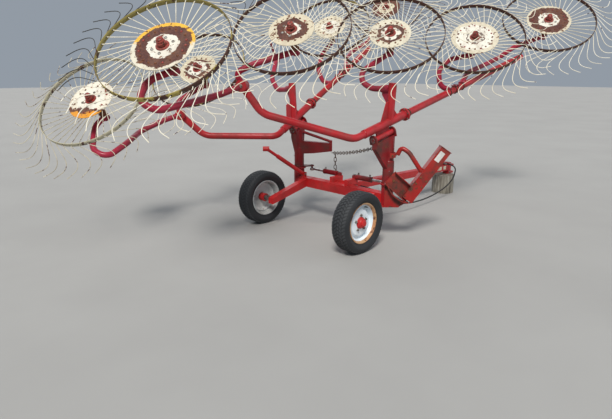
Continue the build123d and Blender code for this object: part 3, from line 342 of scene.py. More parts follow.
def painted(name, fresh, faded, bare=RUST, rust_from=0.64, grime=0.5, spot=9.0, gloss=(0.32, 0.62)):
    """Old paint: faded in broad patches, grimy, scratched and rusting through in spots."""
    m = Nodes(name)
    m.shader.inputs["Specular IOR Level"].default_value = 0.3
    broad = m.noise(2.3, 3.0)
    fine = m.noise(85.0, 3.0, 0.6)
    spots = m.noise(spot, 9.0, 0.68)
    scratch = m.noise(30.0, 4.0, 0.6, (1.0, 1.0, 0.16))
    paint = m.mix(m.step(broad, 0.36, 0.66), fresh, faded)
    paint = m.mix(m.step(scratch, 0.6, 0.74), paint, m.mix(0.45, paint, faded))
    dirt = m.step(m.noise(5.5, 7.0, 0.65), 0.46, 0.68)
    paint = m.mix(m.join(dirt, grime), paint, DIRT)
    mask = m.step(spots, rust_from, rust_from + 0.035)
    m.colour(m.mix(mask, paint, m.ramp(fine, bare)))
    m.rough(m.join(mask, dirt, "MAXIMUM"), *gloss)
    m.bump(m.join(m.join(spots, 0.6), m.join(fine, 0.25), "ADD"), 0.35, 0.0012)
    return m.material


def rusty(name, stops=RUST, flecks=None, fleck_from=0.6):
    """Bare rusty steel, with what is left of its paint in flecks."""
    m = Nodes(name, 0.85)
    fine = m.noise(60.0, 6.0, 0.65)
    colour = m.ramp(fine, stops)
    if flecks:
        mask = m.step(m.noise(7.0, 8.0, 0.7), fleck_from, fleck_from + 0.04)
        colour = m.mix(mask, colour, flecks)
    m.colour(colour)
    m.bump(fine, 0.5, 0.001)
    return m.material


def rubber(name, clean, dusty):
    m = Nodes(name, 0.78)
    dust = m.step(m.noise(7.0, 6.0, 0.6), 0.4, 0.75)
    fine = m.noise(160, 3.0)
    colour = m.mix(m.join(dust, 0.4), clean, dusty)
    m.colour(m.mix(m.join(fine, 0.3), colour, (0.026, 0.027, 0.029)))
    m.bump(fine, 0.25, 0.0008)
    m.rough(dust, 0.58, 0.9)
    return m.material


def metal(name, colour, worn, roughness):
    m = Nodes(name, roughness[0], 1.0)
    cloud = m.noise(22.0, 6.0, 0.6)
    m.colour(m.mix(m.step(cloud, 0.45, 0.7), colour, worn))
    m.rough(cloud, *roughness)
    m.bump(m.noise(140, 2.0), 0.12, 0.0005)
    return m.material


def weathered_wood(name, end_grain):
    m = Nodes(name, 0.88)
    fibre = m.noise(26.0, 7.0, 0.7, (1.0, 1.0, 0.12))
    colour = m.ramp(fibre, [(0.3, (0.09, 0.078, 0.06)), (0.5, (0.24, 0.22, 0.18)), (0.7, (0.46, 0.44, 0.38))])
    if end_grain:
        wave = m.node("TexWave", Scale=16.0, Distortion=2.5, Detail=3.0)
        wave.wave_type = "RINGS"
        wave.rings_direction = "Z"
        m.link(m.mapped(m.coordinates, Location=(0.2, 0.0, 0.0)), wave.inputs["Vector"])
        rings = m.step(wave.outputs["Fac"], 0.2, 0.9)
        colour = m.mix(m.join(rings, 0.55), colour, (0.3, 0.25, 0.19))
        m.bump(m.join(rings, fibre, "ADD"), 0.5, 0.003)
    else:
        m.bump(fibre, 0.8, 0.006)
    m.colour(colour)
    return m.material


def plate_face(name, own, seed, zones, upper=None, lower=None):
    """Painted disc in rings about the axis of its wheel, each ring's edge chipped; zones run inwards.

    Upper paints the outer ring's top, and lower (height, paint) everything below a height."""
    m = Nodes(name, 0.6)
    back = own.inverted()
    local = m.mapped(m.coordinates, Location=back.translation, Rotation=back.to_euler())
    m.coordinates = m.mapped(local, Location=(seed * 1.7, seed * 0.9, seed * 2.3))
    distance = m.node("VectorMath")
    distance.operation = "LENGTH"
    m.link(m.mapped(local, Scale=(1.0, 1.0, 0.0)), distance.inputs[0])
    parts = m.node("SeparateXYZ")
    m.link(local, parts.inputs[0])
    chips = m.noise(11.0, 6.0, 0.65)
    fine = m.noise(70.0, 4.0, 0.65)
    wander = m.join(chips, 0.5, "SUBTRACT")
    radius = m.join(distance.outputs["Value"], m.join(wander, 0.11), "ADD")
    height = m.join(parts.outputs["Y"], m.join(wander, 0.25), "ADD")
    colour = m.shade(fine, zones[0][1])
    if upper:
        colour = m.mix(m.step(height, 0.02, 0.05), colour, upper)
    for edge, paint in zones[1:]:
        colour = m.mix(m.step(radius, edge, edge - 0.004), colour, m.shade(fine, paint))
    if lower:
        level, paint = lower
        colour = m.mix(m.step(height, level, level - 0.01), colour, m.ramp(fine, BROWN))
        colour = m.mix(m.step(height, level - 0.05, level - 0.06), colour, paint)
    spots = m.step(m.noise(19.0, 9.0, 0.7), 0.565, 0.6)
    streaks = m.step(m.noise(9.0, 7.0, 0.65, (1.0, 0.35, 1.0)), 0.48, 0.74)
    colour = m.mix(m.join(streaks, 0.5), colour, (0.2, 0.11, 0.06))
    m.colour(m.mix(spots, colour, m.ramp(fine, RUST)))
    m.rough(m.join(spots, streaks, "MAXIMUM"), 0.42, 0.85)
    m.bump(m.join(chips, m.join(fine, 0.3), "ADD"), 0.3, 0.0015)
    return m.material


def hoop_paint(name, paint, left):
    """Rusty band with what is left of its paint; left is the share that still shows."""
    m = Nodes(name, 0.7)
    patches = m.noise(6.0, 8.0, 0.7)
    fine = m.noise(55.0, 5.0, 0.65)
    edge = 0.5 + (0.5 - left) * 0.36
    worn = tuple(0.62 * part for part in paint)
    m.colour(m.mix(m.step(patches, edge, edge + 0.03), m.ramp(fine, DARK_RUST), m.mix(fine, paint, worn)))
    m.bump(fine, 0.4, 0.001)
    return m.material


RED = (0.36, 0.008, 0.013)
PINK = (0.39, 0.026, 0.032)
MAGENTA = (0.27, 0.006, 0.026)
ORANGE_RED = (0.46, 0.011, 0.013)
CREAM = (0.66, 0.61, 0.42)
WHITE = (0.74, 0.72, 0.63)
OLIVE = (0.36, 0.3, 0.085)
BROWN = [(0.3, (0.045, 0.015, 0.011)), (0.55, (0.1, 0.032, 0.021)), (0.75, (0.17, 0.062, 0.036))]
# Dark steel for the tine tips in the shaded sector: painted shade
TIP_SHADE_STEEL = [(0.3, (0.018, 0.018, 0.02)), (0.55, (0.045, 0.042, 0.038)), (0.8, (0.1, 0.08, 0.06))]
CHAIN_RUST = [(0.25, (0.02, 0.014, 0.012)), (0.5, (0.06, 0.036, 0.025)), (0.75, (0.12, 0.065, 0.04))]

materials = {
    "red": painted("red_paint", RED, PINK, rust_from=0.66),
    "magenta": painted("magenta_paint", MAGENTA, (0.34, 0.026, 0.055), rust_from=0.7, grime=0.4),
    "bright": painted("bright_red_paint", ORANGE_RED, (0.49, 0.028, 0.03), rust_from=0.7, grime=0.35),
    "dark": painted("dark_red_paint", (0.16, 0.006, 0.009), (0.24, 0.017, 0.02), grime=1.0, rust_from=0.61),
    "cap": painted("cap_paint", (0.22, 0.016, 0.014), (0.34, 0.07, 0.055), DARK_RUST, 0.54, 0.6, 30.0),
    "wire": painted("cream_wire_paint", (0.8, 0.74, 0.56), (0.86, 0.83, 0.72), DARK_RUST, 0.61, 0.35, 14.0),
    # Dark tine tips of one sector: painted shade
    "tip_shade": rusty("tip_shade_steel", TIP_SHADE_STEEL),
    "wire_dull": painted("dull_wire_paint", (0.4, 0.36, 0.26), (0.6, 0.56, 0.44), DARK_RUST, 0.56, 0.6, 14.0),
    "wire_dark": rusty("worn_wire_rust", DARK_RUST, (0.5, 0.46, 0.36), 0.56),
    "back_cream": painted("back_cream_paint", (0.6, 0.54, 0.38), CREAM, RUST, 0.58, 0.5, 15.0),
    "back_orange": painted("back_orange_paint", (0.7, 0.3, 0.02), (0.66, 0.47, 0.15), RUST, 0.56, 0.4, 14.0),
    "hoop_olive": hoop_paint("hoop_olive", OLIVE, 0.85),
    "hoop_rust": hoop_paint("hoop_rust", (0.24, 0.18, 0.07), 0.22),
    "hoop_worn": hoop_paint("hoop_worn", (0.5, 0.4, 0.1), 0.42),
    "hoop_cream": hoop_paint("hoop_cream", (0.6, 0.56, 0.4), 0.8),
    "stand": painted("stand_paint", (0.29, 0.01, 0.01), (0.35, 0.034, 0.026), DARK_RUST, 0.585, 1.0, 6.0),
    "rust": rusty("bare_rust"),
    "bolt": metal("zinc_bolt", (0.34, 0.33, 0.31), (0.12, 0.07, 0.04), (0.4, 0.75)),
    "chrome": metal("rod_chrome", (0.62, 0.62, 0.62), (0.3, 0.26, 0.22), (0.16, 0.4)),
    "steel": metal("axle_steel", (0.36, 0.34, 0.32), (0.12, 0.075, 0.05), (0.35, 0.65)),
    "chain": rusty("chain_rust", CHAIN_RUST),
    # Black for the valve stem, and for the dark quads in the hoop's holes, which are painted shade
    "black": painted("black_grime_and_hole_shade", (0.02, 0.02, 0.02), (0.05, 0.045, 0.04), DARK_RUST, 0.62, 0.4),
    "rubber": rubber("tyre_rubber", (0.007, 0.009, 0.012), (0.05, 0.052, 0.054)),
    "tread": rubber("tread_rubber", (0.024, 0.028, 0.033), (0.095, 0.1, 0.104)),
    "hose": painted("hose_rubber", (0.01, 0.011, 0.012), (0.03, 0.03, 0.03), DARK_RUST, 0.9, 0.2,
                    gloss=(0.45, 0.7)),
    "rim": painted("rim_paint", (0.66, 0.75, 0.82), (0.78, 0.84, 0.88), RUST, 0.67, 0.3, 12.0),
    "rim_worn": painted("rim_worn_paint", (0.4, 0.44, 0.46), (0.56, 0.58, 0.57), RUST, 0.62, 0.6, 12.0),
    "rim_edge": painted("rim_edge_paint", (0.4, 0.17, 0.075), (0.58, 0.38, 0.2), RUST, 0.55, 0.4, 14.0),
    "bark": weathered_wood("stump_bark", False),
    "end_grain": weathered_wood("stump_end", True),
    "label": painted("blank_label", (0.74, 0.74, 0.72), (0.62, 0.61, 0.58), RUST, 0.7, 0.3),
    "band": painted("cream_band", (0.74, 0.7, 0.52), (0.7, 0.62, 0.46), RUST, 0.62, 0.4, 16.0),
}
hose_piece.data.materials.append(materials["hose"])

# Paint of each wheel's plate: rings from outside to inside, then paint above and below
FACES = {
    "a": ([(1.0, (0.66, 0.62, 0.5)), (0.236, BROWN), (0.132, WHITE)], (0.78, 0.44, 0.04)),
    "b": ([(1.0, (0.6, 0.54, 0.4)), (0.15, BROWN), (0.078, WHITE)],),
    "c": ([(1.0, (0.64, 0.6, 0.47)), (0.14, BROWN), (0.1, WHITE)],),
    "d": ([(1.0, (0.62, 0.57, 0.44)), (0.215, WHITE), (0.1, BROWN), (0.088, WHITE)],),
    "e": ([(1.0, (0.6, 0.55, 0.42)), (0.24, BROWN), (0.13, WHITE)],),
    "f": ([(1.0, (0.74, 0.7, 0.58)), (0.15, WHITE)], None, (-0.115, (0.72, 0.29, 0.015))),
    "g": ([(1.0, (0.56, 0.5, 0.36)), (0.15, BROWN), (0.11, WHITE)],),
    "h": ([(1.0, (0.62, 0.56, 0.42)), (0.13, WHITE)],),
    "i": ([(1.0, BROWN), (0.12, (0.58, 0.52, 0.38))],),
}


# Mesh helpers
def around(count):
    """Cosine and sine of the even steps of a full turn."""
    turns = [2 * math.pi * step / count for step in range(count)]
    return [(math.cos(turn), math.sin(turn)) for turn in turns]


def ring_faces(rows, count, closed=False):
    """Faces between rows of points that run round a ring; closed joins the last row to the first."""
    faces = []
    for row in range(rows if closed else rows - 1):
        low, high = row * count, (row + 1) % rows * count
        for step in range(count):
            other = (step + 1) % count
            faces.append((low + step, low + other, high + other, high + step))
    return faces


def polar(radius, turn, height=0.0):
    angle = math.radians(turn)
    return Vector((radius * math.cos(angle), radius * math.sin(angle), height))


def moved(place, x, y, z):
    return place @ Matrix.Translation((x, y, z))


def spun(place, turn):
    return place @ Matrix.Rotation(turn, 4, "Z")


def turns_of(place, count, start=0.0):
    """A place turned about its own Z in even steps."""
    return [spun(place, 2 * math.pi * index / count + start) for index in range(count)]


def row_point(x, y, z):
    """Point of the source's table, in mm from the ground below the axle, in the frame."""
    return Vector((x, y, z)) / 1000 - EYE


def look_along(origin, direction, level=None):
    """Matrix that puts Z along a direction at an origin, with X level or along another way."""
    z = Vector(direction).normalized()
    x = UP.cross(z) if level is None else Vector(level)
    if x.length < 1e-5:
        x = Vector((1, 0, 0))
    x = (x - z * x.dot(z)).normalized()
    y = z.cross(x)
    return Matrix(((x.x, y.x, z.x, origin[0]), (x.y, y.y, z.y, origin[1]),
                   (x.z, y.z, z.z, origin[2]), (0, 0, 0, 1)))


class Shape:
    """Vertices, faces and each face's material, gathered before they become one object."""

    def __init__(self):
        self.vertices = []
        self.faces = []
        self.slots = []

    def add(self, vertices, faces, slot, place):
        base = len(self.vertices)
        mirrored = place.to_3x3().determinant() < 0
        self.vertices += [place @ Vector(v) for v in vertices]
        self.faces += [tuple(base + i for i in (reversed(face) if mirrored else face)) for face in faces]
        self.slots += [slot] * len(faces)

    def sweep(self, points, radius, sides, slot, place, closed=False):
        """Round bar along points; radius is one value or one for each point."""
        points = [Vector(p) for p in points]
        count = len(points)
        radii = radius if isinstance(radius, list) else [radius] * count
        vertices = []
        normal = None
        for index, point in enumerate(points):
            before = points[index - 1] if (index or closed) else point
            after = points[(index + 1) % count] if (index < count - 1 or closed) else point
            tangent = (after - before).normalized()
            if normal is None:
                helper = UP if abs(tangent.z) < 0.9 else Vector((1, 0, 0))
                normal = tangent.cross(helper).normalized()
            normal = (normal - tangent * normal.dot(tangent)).normalized()
            side = tangent.cross(normal)
            vertices += [point + (normal * right + side * up) * radii[index] for right, up in around(sides)]
        faces = ring_faces(count, sides, closed)
        if not closed:
            faces.append(tuple(reversed(range(sides))))
            faces.append(tuple(range((count - 1) * sides, count * sides)))
        self.add(vertices, faces, slot, place)

    def lathe(self, profile, segments, slot, place):
        """Revolves (radius, height) points about Z."""
        vertices = [(radius * right, radius * up, height)
                    for radius, height in profile for right, up in around(segments)]
        self.add(vertices, ring_faces(len(profile), segments), slot, place)

    def prism(self, outline, low, high, slot, place, bevel):
        """Plate of a flat outline, with its upper and lower edges bevelled."""
        count = len(outline)
        middle = Vector((sum(x for x, y in outline) / count, sum(y for x, y in outline) / count))
        vertices = []
        for height, inset in ((low, bevel), (low + bevel, 0.0), (high - bevel, 0.0), (high, bevel)):
            for point in outline:
                away = Vector(point) - middle
                away *= 1.0 - inset / max(away.length, 1e-6)
                vertices.append((middle.x + away.x, middle.y + away.y, height))
        ends = [tuple(reversed(range(count))), tuple(range(3 * count, 4 * count))]
        self.add(vertices, ends + ring_faces(4, count), slot, place)

    def pad(self, x, y, height, slot, place, bevel):
        """Rectangular plate on the place's XY plane; x and y are half its length and width."""
        self.prism([(-x, -y), (x, -y), (x, y), (-x, y)], 0.0, height, slot, place, bevel)

    def bolt(self, place, size, slot):
        """Hexagon head on a washer, standing on the place's XY plane."""
        head = size * 0.55
        rim, thickness = size * 1.05, size * 0.12
        corner = 2.0 / math.sqrt(3.0) * size * 0.86
        self.lathe([(0.0, 0.0), (rim, 0.0), (rim, thickness), (0.0, thickness)], 18, slot, place)
        self.lathe([(corner, size * 0.1), (corner, head * 0.86), (corner * 0.86, head), (0.0, head)],
                   6, slot, place)

    def bead(self, origin, axis, radius, slot, wire, rng=None):
        """Weld bead round a bar."""
        ring = [(radius * right, radius * up, 0.0) for right, up in around(48)]
        radii = [wire * (0.85 + 0.3 * rng.random()) if rng else wire for point in ring]
        self.sweep(ring, radii, 6, slot, look_along(origin, axis), closed=True)

    def build(self, name, names, body, smooth=35.0):
        mesh = bpy.data.meshes.new(name)
        mesh.from_pydata([tuple(v) for v in self.vertices], [], self.faces)
        for key in names:
            mesh.materials.append(materials[key])
        mesh.polygons.foreach_set("material_index", self.slots)
        mesh.polygons.foreach_set("use_smooth", [True] * len(self.faces))
        mesh.update()
        thing = new_object(name, mesh)
        mesh.set_sharp_from_angle(angle=math.radians(smooth))
        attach(thing, body)
        return thing


def rounded(points, reaches, steps):
    """Corners of a broken line eased with short curves; each corner has a reach before and after it."""
    line = [points[0]]
    for before, here, after, (reach_in, reach_out) in zip(points, points[1:], points[2:], reaches):
        start = here + (before - here).normalized() * min(reach_in, 0.7 * (here - before).length)
        end = here + (after - here).normalized() * min(reach_out, 0.7 * (after - here).length)
        for step in range(steps + 1):
            share = step / steps
            line.append(start.lerp(here, share).lerp(here.lerp(end, share), share))
    line.append(points[-1])
    return line


# Finger wheels
def tine_path(rng):
    """Middle line of one tine, a little bent from years of use."""
    swing = rng.uniform(-0.9, 0.9)
    knee = KNEE_RADIUS + rng.uniform(-0.006, 0.006)
    drop = -KNEE_DROP + rng.uniform(-0.006, 0.006)
    points = [
        polar(TINE_START - 0.02, -1.6),
        polar(TINE_START, 0.0),
        polar(CORNER_RADIUS, TINE_LEAN),
        polar(knee, KNEE_TURN + swing, drop),
        polar(TIP_RADIUS - rng.uniform(0.0, 0.008), TIP_TURN + swing, drop),
    ]
    return rounded(points, BEND_REACHES, TINE_STEPS)


def wheel_tines(name, place, rng):
    tines = Shape()
    for index, spot in enumerate(turns_of(place, TINE_COUNT)):
        line = tine_path(rng)
        tines.sweep(line, WIRE_RADIUS, TINE_SIDES, 0, spot)
        # Tips beyond the hoop in the listed sector take the dark steel: painted shade
        if index in SHADE_DARK_TIPS.get(name, ()):
            bare = (len(line) - HOOP_STEP) * TINE_SIDES
            tines.slots[-bare:] = [1] * bare
    paint = WORN_WIRES.get(name, "wire")
    wires = tines.build("tines_" + name, [paint, "tip_shade"], "finger_wheel_" + name, 40.0)
    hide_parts("finger_wheel_" + name)


def wheel_hoop(name, place, rng, inside, outside):
    band = Shape()
    inner, outer = RING_RADIUS, RING_RADIUS + RING_THICKNESS
    half, ease = RING_WIDTH / 2, RING_EASE
    band.lathe([(outer - ease, -half), (inner + ease, -half), (inner, -half + ease), (inner, half - ease),
                (inner + ease, half)], 120, 0, place)
    band.lathe([(inner + ease, half), (outer - ease, half), (outer, half - ease), (outer, -half + ease),
                (outer - ease, -half)], 120, 1, place)
    run = polar(CORNER_RADIUS, TINE_LEAN) - polar(TINE_START, 0.0)
    lean = math.asin(TINE_START * math.sin(math.radians(TINE_LEAN)) / run.length)
    back = (CORNER_RADIUS - RING_RADIUS) / RING_RADIUS * math.tan(lean)
    y, z = HOLE_LENGTH / 2, HOLE_WIDTH / 2
    for spot in turns_of(place, TINE_COUNT, math.radians(TINE_LEAN) - back):
        # Dark quads on both faces of the band at each tine's hole: painted shade of the hole
        for level, face in ((inner - 0.0004, (3, 2, 1, 0)), (outer + 0.0004, (0, 1, 2, 3))):
            corners = [(level, -y, -z), (level, y, -z), (level, y, z), (level, -y, z)]
            band.add(corners, [face], 2, spot)
        if rng.random() < CLIP_SHARE:
            clip = [(outer + 0.002, -0.004, -0.011), (outer + 0.006, 0.0, -0.004),
                    (outer + 0.006, 0.0, 0.004), (outer + 0.002, 0.004, 0.011)]
            band.sweep(clip, 0.0028, 5, 3, spot)
    band.build("hoop_" + name, ["hoop_" + inside, "hoop_" + outside, "black", "wire"],
               "finger_wheel_" + name, 50.0)


def wheel_hub(name, own, place, rng, size):
    hub = Shape()
    reach = PLATE_RADIUS[size]
    top = SEAT + PLATE_THICKNESS
    low = -SEAT - PLATE_THICKNESS
    back = min(BACK_PLATE_RADIUS, reach - 0.015)
    hub.lathe([(reach - 0.02, SEAT), (reach - 0.001, SEAT), (reach, SEAT + 0.001), (reach, top - 0.001),
               (reach - 0.001, top), (0.058, top)], 72, 0, place)
    hub.lathe([(0.155, SEAT), (0.155, -SEAT), (back - 0.001, -SEAT), (back, -SEAT - 0.001),
               (back, low + 0.001), (back - 0.001, low), (0.06, low)], 72, 1, place)
    hub.lathe([(0.06, low), (0.052, -0.018), (0.04, -0.03), (0.04, -0.07), (0.0385, -0.072),
               (0.0385, -0.16), (0.04, -0.162), (0.04, -0.214), (0.016, -0.2145)], 40, 2, place)
    hub.lathe([(0.058, top), (0.056, top + 0.006), (0.043, top + 0.008), (0.036, top + 0.01)], 36, 3, place)
    hub.lathe(CAP_PROFILE, 32, 3, place)
    rivet = [(0.0105, 0.0), (0.009, 0.0045), (0.005, 0.0075), (0.0, 0.008)]
    for index in range(RIVETS[size]):
        at = 360 * index / RIVETS[size] + rng.uniform(-0.6, 0.6)
        hub.lathe(rivet, 10, rng.choice((3, 4, 4)), moved(place, *polar(reach * RIVET_SHARE, at, top)))
    for index in range(6):
        spot = moved(place, *polar(HUB_BOLT_RADIUS, 30.0 + 60.0 * index, top))
        hub.bolt(spun(spot, rng.uniform(0, 1)), 0.0125, 5)
    seed = list(FACES).index(name) + 1
    face = "face_" + name
    materials[face] = plate_face("plate_" + name, own, seed, *FACES[name])
    back_key = "back_orange" if name == "f" else "back_cream"
    hub.build("hub_" + name, [face, back_key, "rust", "cap", "rust", "bolt"], "finger_wheel_" + name)


for name, wing, size, centre, inside, outside in WHEELS:
    draws = random.Random("wheel " + name)
    turn, rise = (math.radians(angle) for angle in WHEEL_FACING[wing])
    facing = (math.cos(rise) * math.cos(turn), math.cos(rise) * math.sin(turn), math.sin(rise))
    own_place = look_along(row_point(*centre), facing)
    wheel_place = own_place @ Matrix.Diagonal((-1, 1, 1, 1)) if wing == "left" else own_place
    wheel_tines(name, wheel_place, draws)
    wheel_hoop(name, wheel_place, draws, inside, outside)
    wheel_hub(name, own_place, wheel_place, draws, size)


# Road wheels
def tread_block(middle, low, high, slant):
    """Corners of one tread block, in turns about the axle."""
    width = 2 * math.pi / TREAD_BLOCKS * TREAD_SHARE
    vertices = []
    for height, share in ((low, -1), (high, 1)):
        base, crown = (0.293, 0.3045) if abs(height) > TREAD_SHOULDER else (0.303, 0.3148)
        for radius, narrow in ((base, 1.0), (crown, 0.9)):
            for way in (-1, 1):
                angle = middle + way * width * narrow + share * slant / TREAD_RADIUS
                vertices.append((radius * math.cos(angle), radius * math.sin(angle), height))
    return vertices


def road_tyre(side, place):
    tyre = Shape()
    tyre.lathe(TYRE_HALF + [(radius, -height) for radius, height in reversed(TYRE_HALF)], 96, 0, place)
    for radius, height in SIDE_RINGS:
        for way in (-1, 1):
            tyre.lathe([(radius - 0.002, way * height), (radius, way * (height + 0.0018)),
                        (radius + 0.002, way * height)], 72, 0, place)
    for index in range(TREAD_BLOCKS):
        for low, high, shift, slant in TREAD_ROWS:
            middle = 2 * math.pi * (index + shift) / TREAD_BLOCKS
            tyre.add(tread_block(middle, low, high, slant), BLOCK_FACES, 1, place)
    for spot in turns_of(place, SIDE_LUGS):
        for way in (-1, 1):
            lug = [(0.268, -0.0045, way * 0.0955), (0.296, -0.0045, way * 0.0845),
                   (0.296, 0.0045, way * 0.0845), (0.268, 0.0045, way * 0.0955)]
            lifted = [(x + 0.0015, y, z + way * 0.0022) for x, y, z in lug]
            tyre.add(lug + lifted, LUG_FACES, 0, spot)
    piece = tyre.build("tread_" + side, ["rubber", "tread"], "road_wheel_" + side, 30.0)
    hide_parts("tyre_" + side)


def road_rim(side, place):
    rim = Shape()
    rim.lathe(RIM_LIP + [(0.19, 0.052), (0.186, 0.046)], 72, 1, place)
    rim.lathe([(0.186, 0.046), (0.182, 0.02), (0.176, 0.004), (0.168, -0.004), (0.158, -0.002),
               (0.149, 0.008), (0.141, 0.021), (0.132, 0.029), (0.118, 0.031), (0.09, 0.03),
               (0.075, 0.032), (0.048, 0.032)], 72, 0, place)
    rim.lathe([(radius, -height) for radius, height in RIM_LIP] + [
        (0.188, -0.046), (0.184, 0.0), (0.18, 0.005), (0.168, -0.01), (0.15, 0.0), (0.132, 0.022),
        (0.048, 0.024)], 72, 0, place)
    rim.lathe([(0.062, 0.032), (0.06, 0.04), (0.052, 0.046), (0.05, 0.06), (0.046, 0.066), (0.036, 0.068),
               (0.034, 0.08), (0.028, 0.086), (0.01, 0.088), (0.0, 0.088)], 40, 2, place)
    rim.lathe([(0.048, 0.024), (0.048, -0.055), (0.021, -0.055)], 36, 2, place)
    for index in range(5):
        spot = moved(place, *polar(0.08, 72.0 * index + 18.0, 0.0315))
        rim.lathe([(0.0155, 0.0), (0.014, 0.003), (0.011, 0.004), (0.011, 0.016), (0.0, 0.017)], 6, 3, spot)
        rim.sweep([(0, 0, 0.015), (0, 0, 0.023)], 0.006, 8, 3, spot)
    valve = moved(place, *polar(0.172, 54.0))
    rim.sweep([(0, 0, -0.005), (0.001, 0, 0.018), (0.006, 0, 0.034)], [0.006, 0.005, 0.0045], 8, 4, valve)
    dish = "rim_worn" if side == "left" else "rim"
    wheel = rim.build("wheel_dish_" + side, [dish, "rim_edge", "bright", "bolt", "black"],
                      "road_wheel_" + side, 32.0)
    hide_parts("rim_" + side)


for side_name, outward in SIDES.items():
    x, y, z = WHEEL_PLACE
    axle_place = look_along(Vector((x, outward * y, z)) - EYE, (0, outward, 0), (1, 0, 0))
    road_tyre(side_name, axle_place)
    road_rim(side_name, axle_place)


# Bolts, beads and labels
def beam_line(wing):
    """Start and direction of the front run of a wing's beam."""
    elbow = row_point(*BEAMS[wing]["elbow"])
    return elbow, (row_point(*BEAMS[wing]["tip"]) - elbow).normalized()


def on_beam(wing, x, drop=0.0):
    """Point on the beam's front run at a given X in mm, or below it by a drop."""
    elbow, run = beam_line(wing)
    return elbow + run * ((x / 1000 - EYE.x - elbow.x) / run.x) - UP * drop


def wing_details(wing):
    data = BEAMS[wing]
    rng = random.Random("details " + wing)
    elbow, run = beam_line(wing)
    side = run.cross(UP).normalized()
    shape = Shape()

    clamp = on_beam(wing, BEAM_CLAMP_X)
    places = {"clamp": clamp, "elbow": elbow}
    for way, face, holes in CLAMP_FACES:
        spots = turns_of(look_along(clamp + run * way * face, run * way), 6, CLAMP_TURN)
        for index in holes:
            shape.bolt(moved(spots[index], CLAMP_BOLT_REACH, 0, 0), 0.0085, 0)
    strap = clamp + run * STRAP_PLACE
    for along in (0.0, STRAP_WIDTH):
        shape.bead(strap + run * along, run, STRAP_RADIUS, 1, 0.006)
    block = look_along(strap - UP * 0.046 + run * STRAP_WIDTH / 2, -UP, run)
    shape.pad(0.02, 0.028, 0.012, 1, block, 0.002)
    for way in (-1, 1):
        shape.bolt(moved(block, 0.0, way * 0.018, 0.012), 0.009, 0)
    for origin, along, radius, wire in BEAM_BEADS:
        shape.bead(places[origin] + run * along, run, radius, 2, wire, rng)

    top = row_point(*data["post"])
    up = (top - on_beam(wing, data["post"][0])).normalized()
    shape.bead(top - up * 0.002, up, 0.0405, 2, 0.003, rng)
    for way in (-1, 1):
        shape.bolt(look_along(top - up * 0.02 + side * way * POST_SIDE, side * way), 0.01, 0)

    start = top - up * 0.05
    reach = (row_point(*data["arm"]) - start).normalized()
    shape.lathe(ARM_SLEEVE, 32, 4, look_along(start, reach))
    gusset = look_along(start, reach.cross(up), reach)
    way = 1.0 if (gusset.to_3x3() @ Vector((0, 1, 0))).dot(up) < 0 else -1.0
    corners = [(x, way * y) for x, y in GUSSET]
    shape.prism(corners if way > 0 else corners[::-1], -GUSSET_HALF, GUSSET_HALF, 4, gusset, 0.001)
    for x in data["clamps"]:
        for offset in (-CLAMP_BAND_REACH, CLAMP_BAND_REACH):
            seat = on_beam(wing, x) + run * offset
            shape.bead(seat, run, CLAMP_BAND_RADIUS, 1, 0.0055)
            pad = look_along(seat + UP * 0.04, UP, run)
            shape.pad(0.014, 0.034, 0.01, 4, pad, 0.002)
            for way in (-1, 1):
                shape.bolt(moved(pad, 0.0, way * 0.025, 0.01), 0.0085, 0)

    end, before = (row_point(*point) for point in data["rear"])
    boss_run = (end - before).cross(UP).normalized()
    for way in (-1, 1):
        face = look_along(end + boss_run * way * BOSS_HALF, boss_run * way)
        shape.lathe(BOSS_CAP, 36, 2, face)
        shape.bolt(moved(face, 0, 0, 0.004), 0.017, 0)

    for x, way in zip(data["ears"], (-1, 1)):
        face = look_along(on_beam(wing, x, EAR_DROP) + run * way * EAR_FACE, run * way)
        shape.lathe([(0.018, 0.0), (0.027, 0.0), (0.027, 0.003), (0.018, 0.003)], 28, 3, face)
        shape.sweep([(-0.024, 0.0, 0.0056), (0.026, 0.0, 0.0056)], 0.0022, 6, 3, face)
    shape.build("trim_" + wing + "_wing", ["bolt", "chain", "red", "steel", "magenta"], wing + "_wing")


def column_details(side):
    x, way = COLUMN_X, SIDES[side]
    y = way * COLUMN_Y
    rng = random.Random("column " + side)
    base = Shape()
    base.bead(row_point(x, y, 607), UP, 0.0665, 1, 0.0035, rng)
    for index in range(8):
        turn = math.radians(45.0 * index + 22.5)
        spot = row_point(x + 76.0 * math.cos(turn), y + 76.0 * math.sin(turn), 606)
        base.bolt(look_along(spot, -UP), 0.0065, 0)
    foot = Matrix.Translation(row_point(x, y, 390))
    base.lathe([(0.06, 0.0), (0.06, -0.002), (0.0, -0.002)], 36, 1, foot)
    base.build("trim_" + side + "_column", ["bolt", "red"], "frame")
    sleeve = Shape()
    sleeve.bead(row_point(x, y, 861), UP, 0.05, 1, 0.0045, rng)
    sleeve.bead(row_point(x, y, 636), UP, 0.0615, 1, 0.0035, rng)
    fitting = look_along(row_point(x - 42.4, y + way * 42.4, 760), (-1, way, 0))
    sleeve.lathe([(0.0045, 0.0), (0.0045, 0.006), (0.003, 0.008), (0.0035, 0.011), (0.0, 0.012)], 10, 0,
                 fitting)
    sleeve.bolt(look_along(row_point(x + 130, y - way * 100, 634.3), UP), 0.014, 0)
    sleeve.build("trim_" + side + "_sleeve", ["bolt", "dark"], side + "_wing")


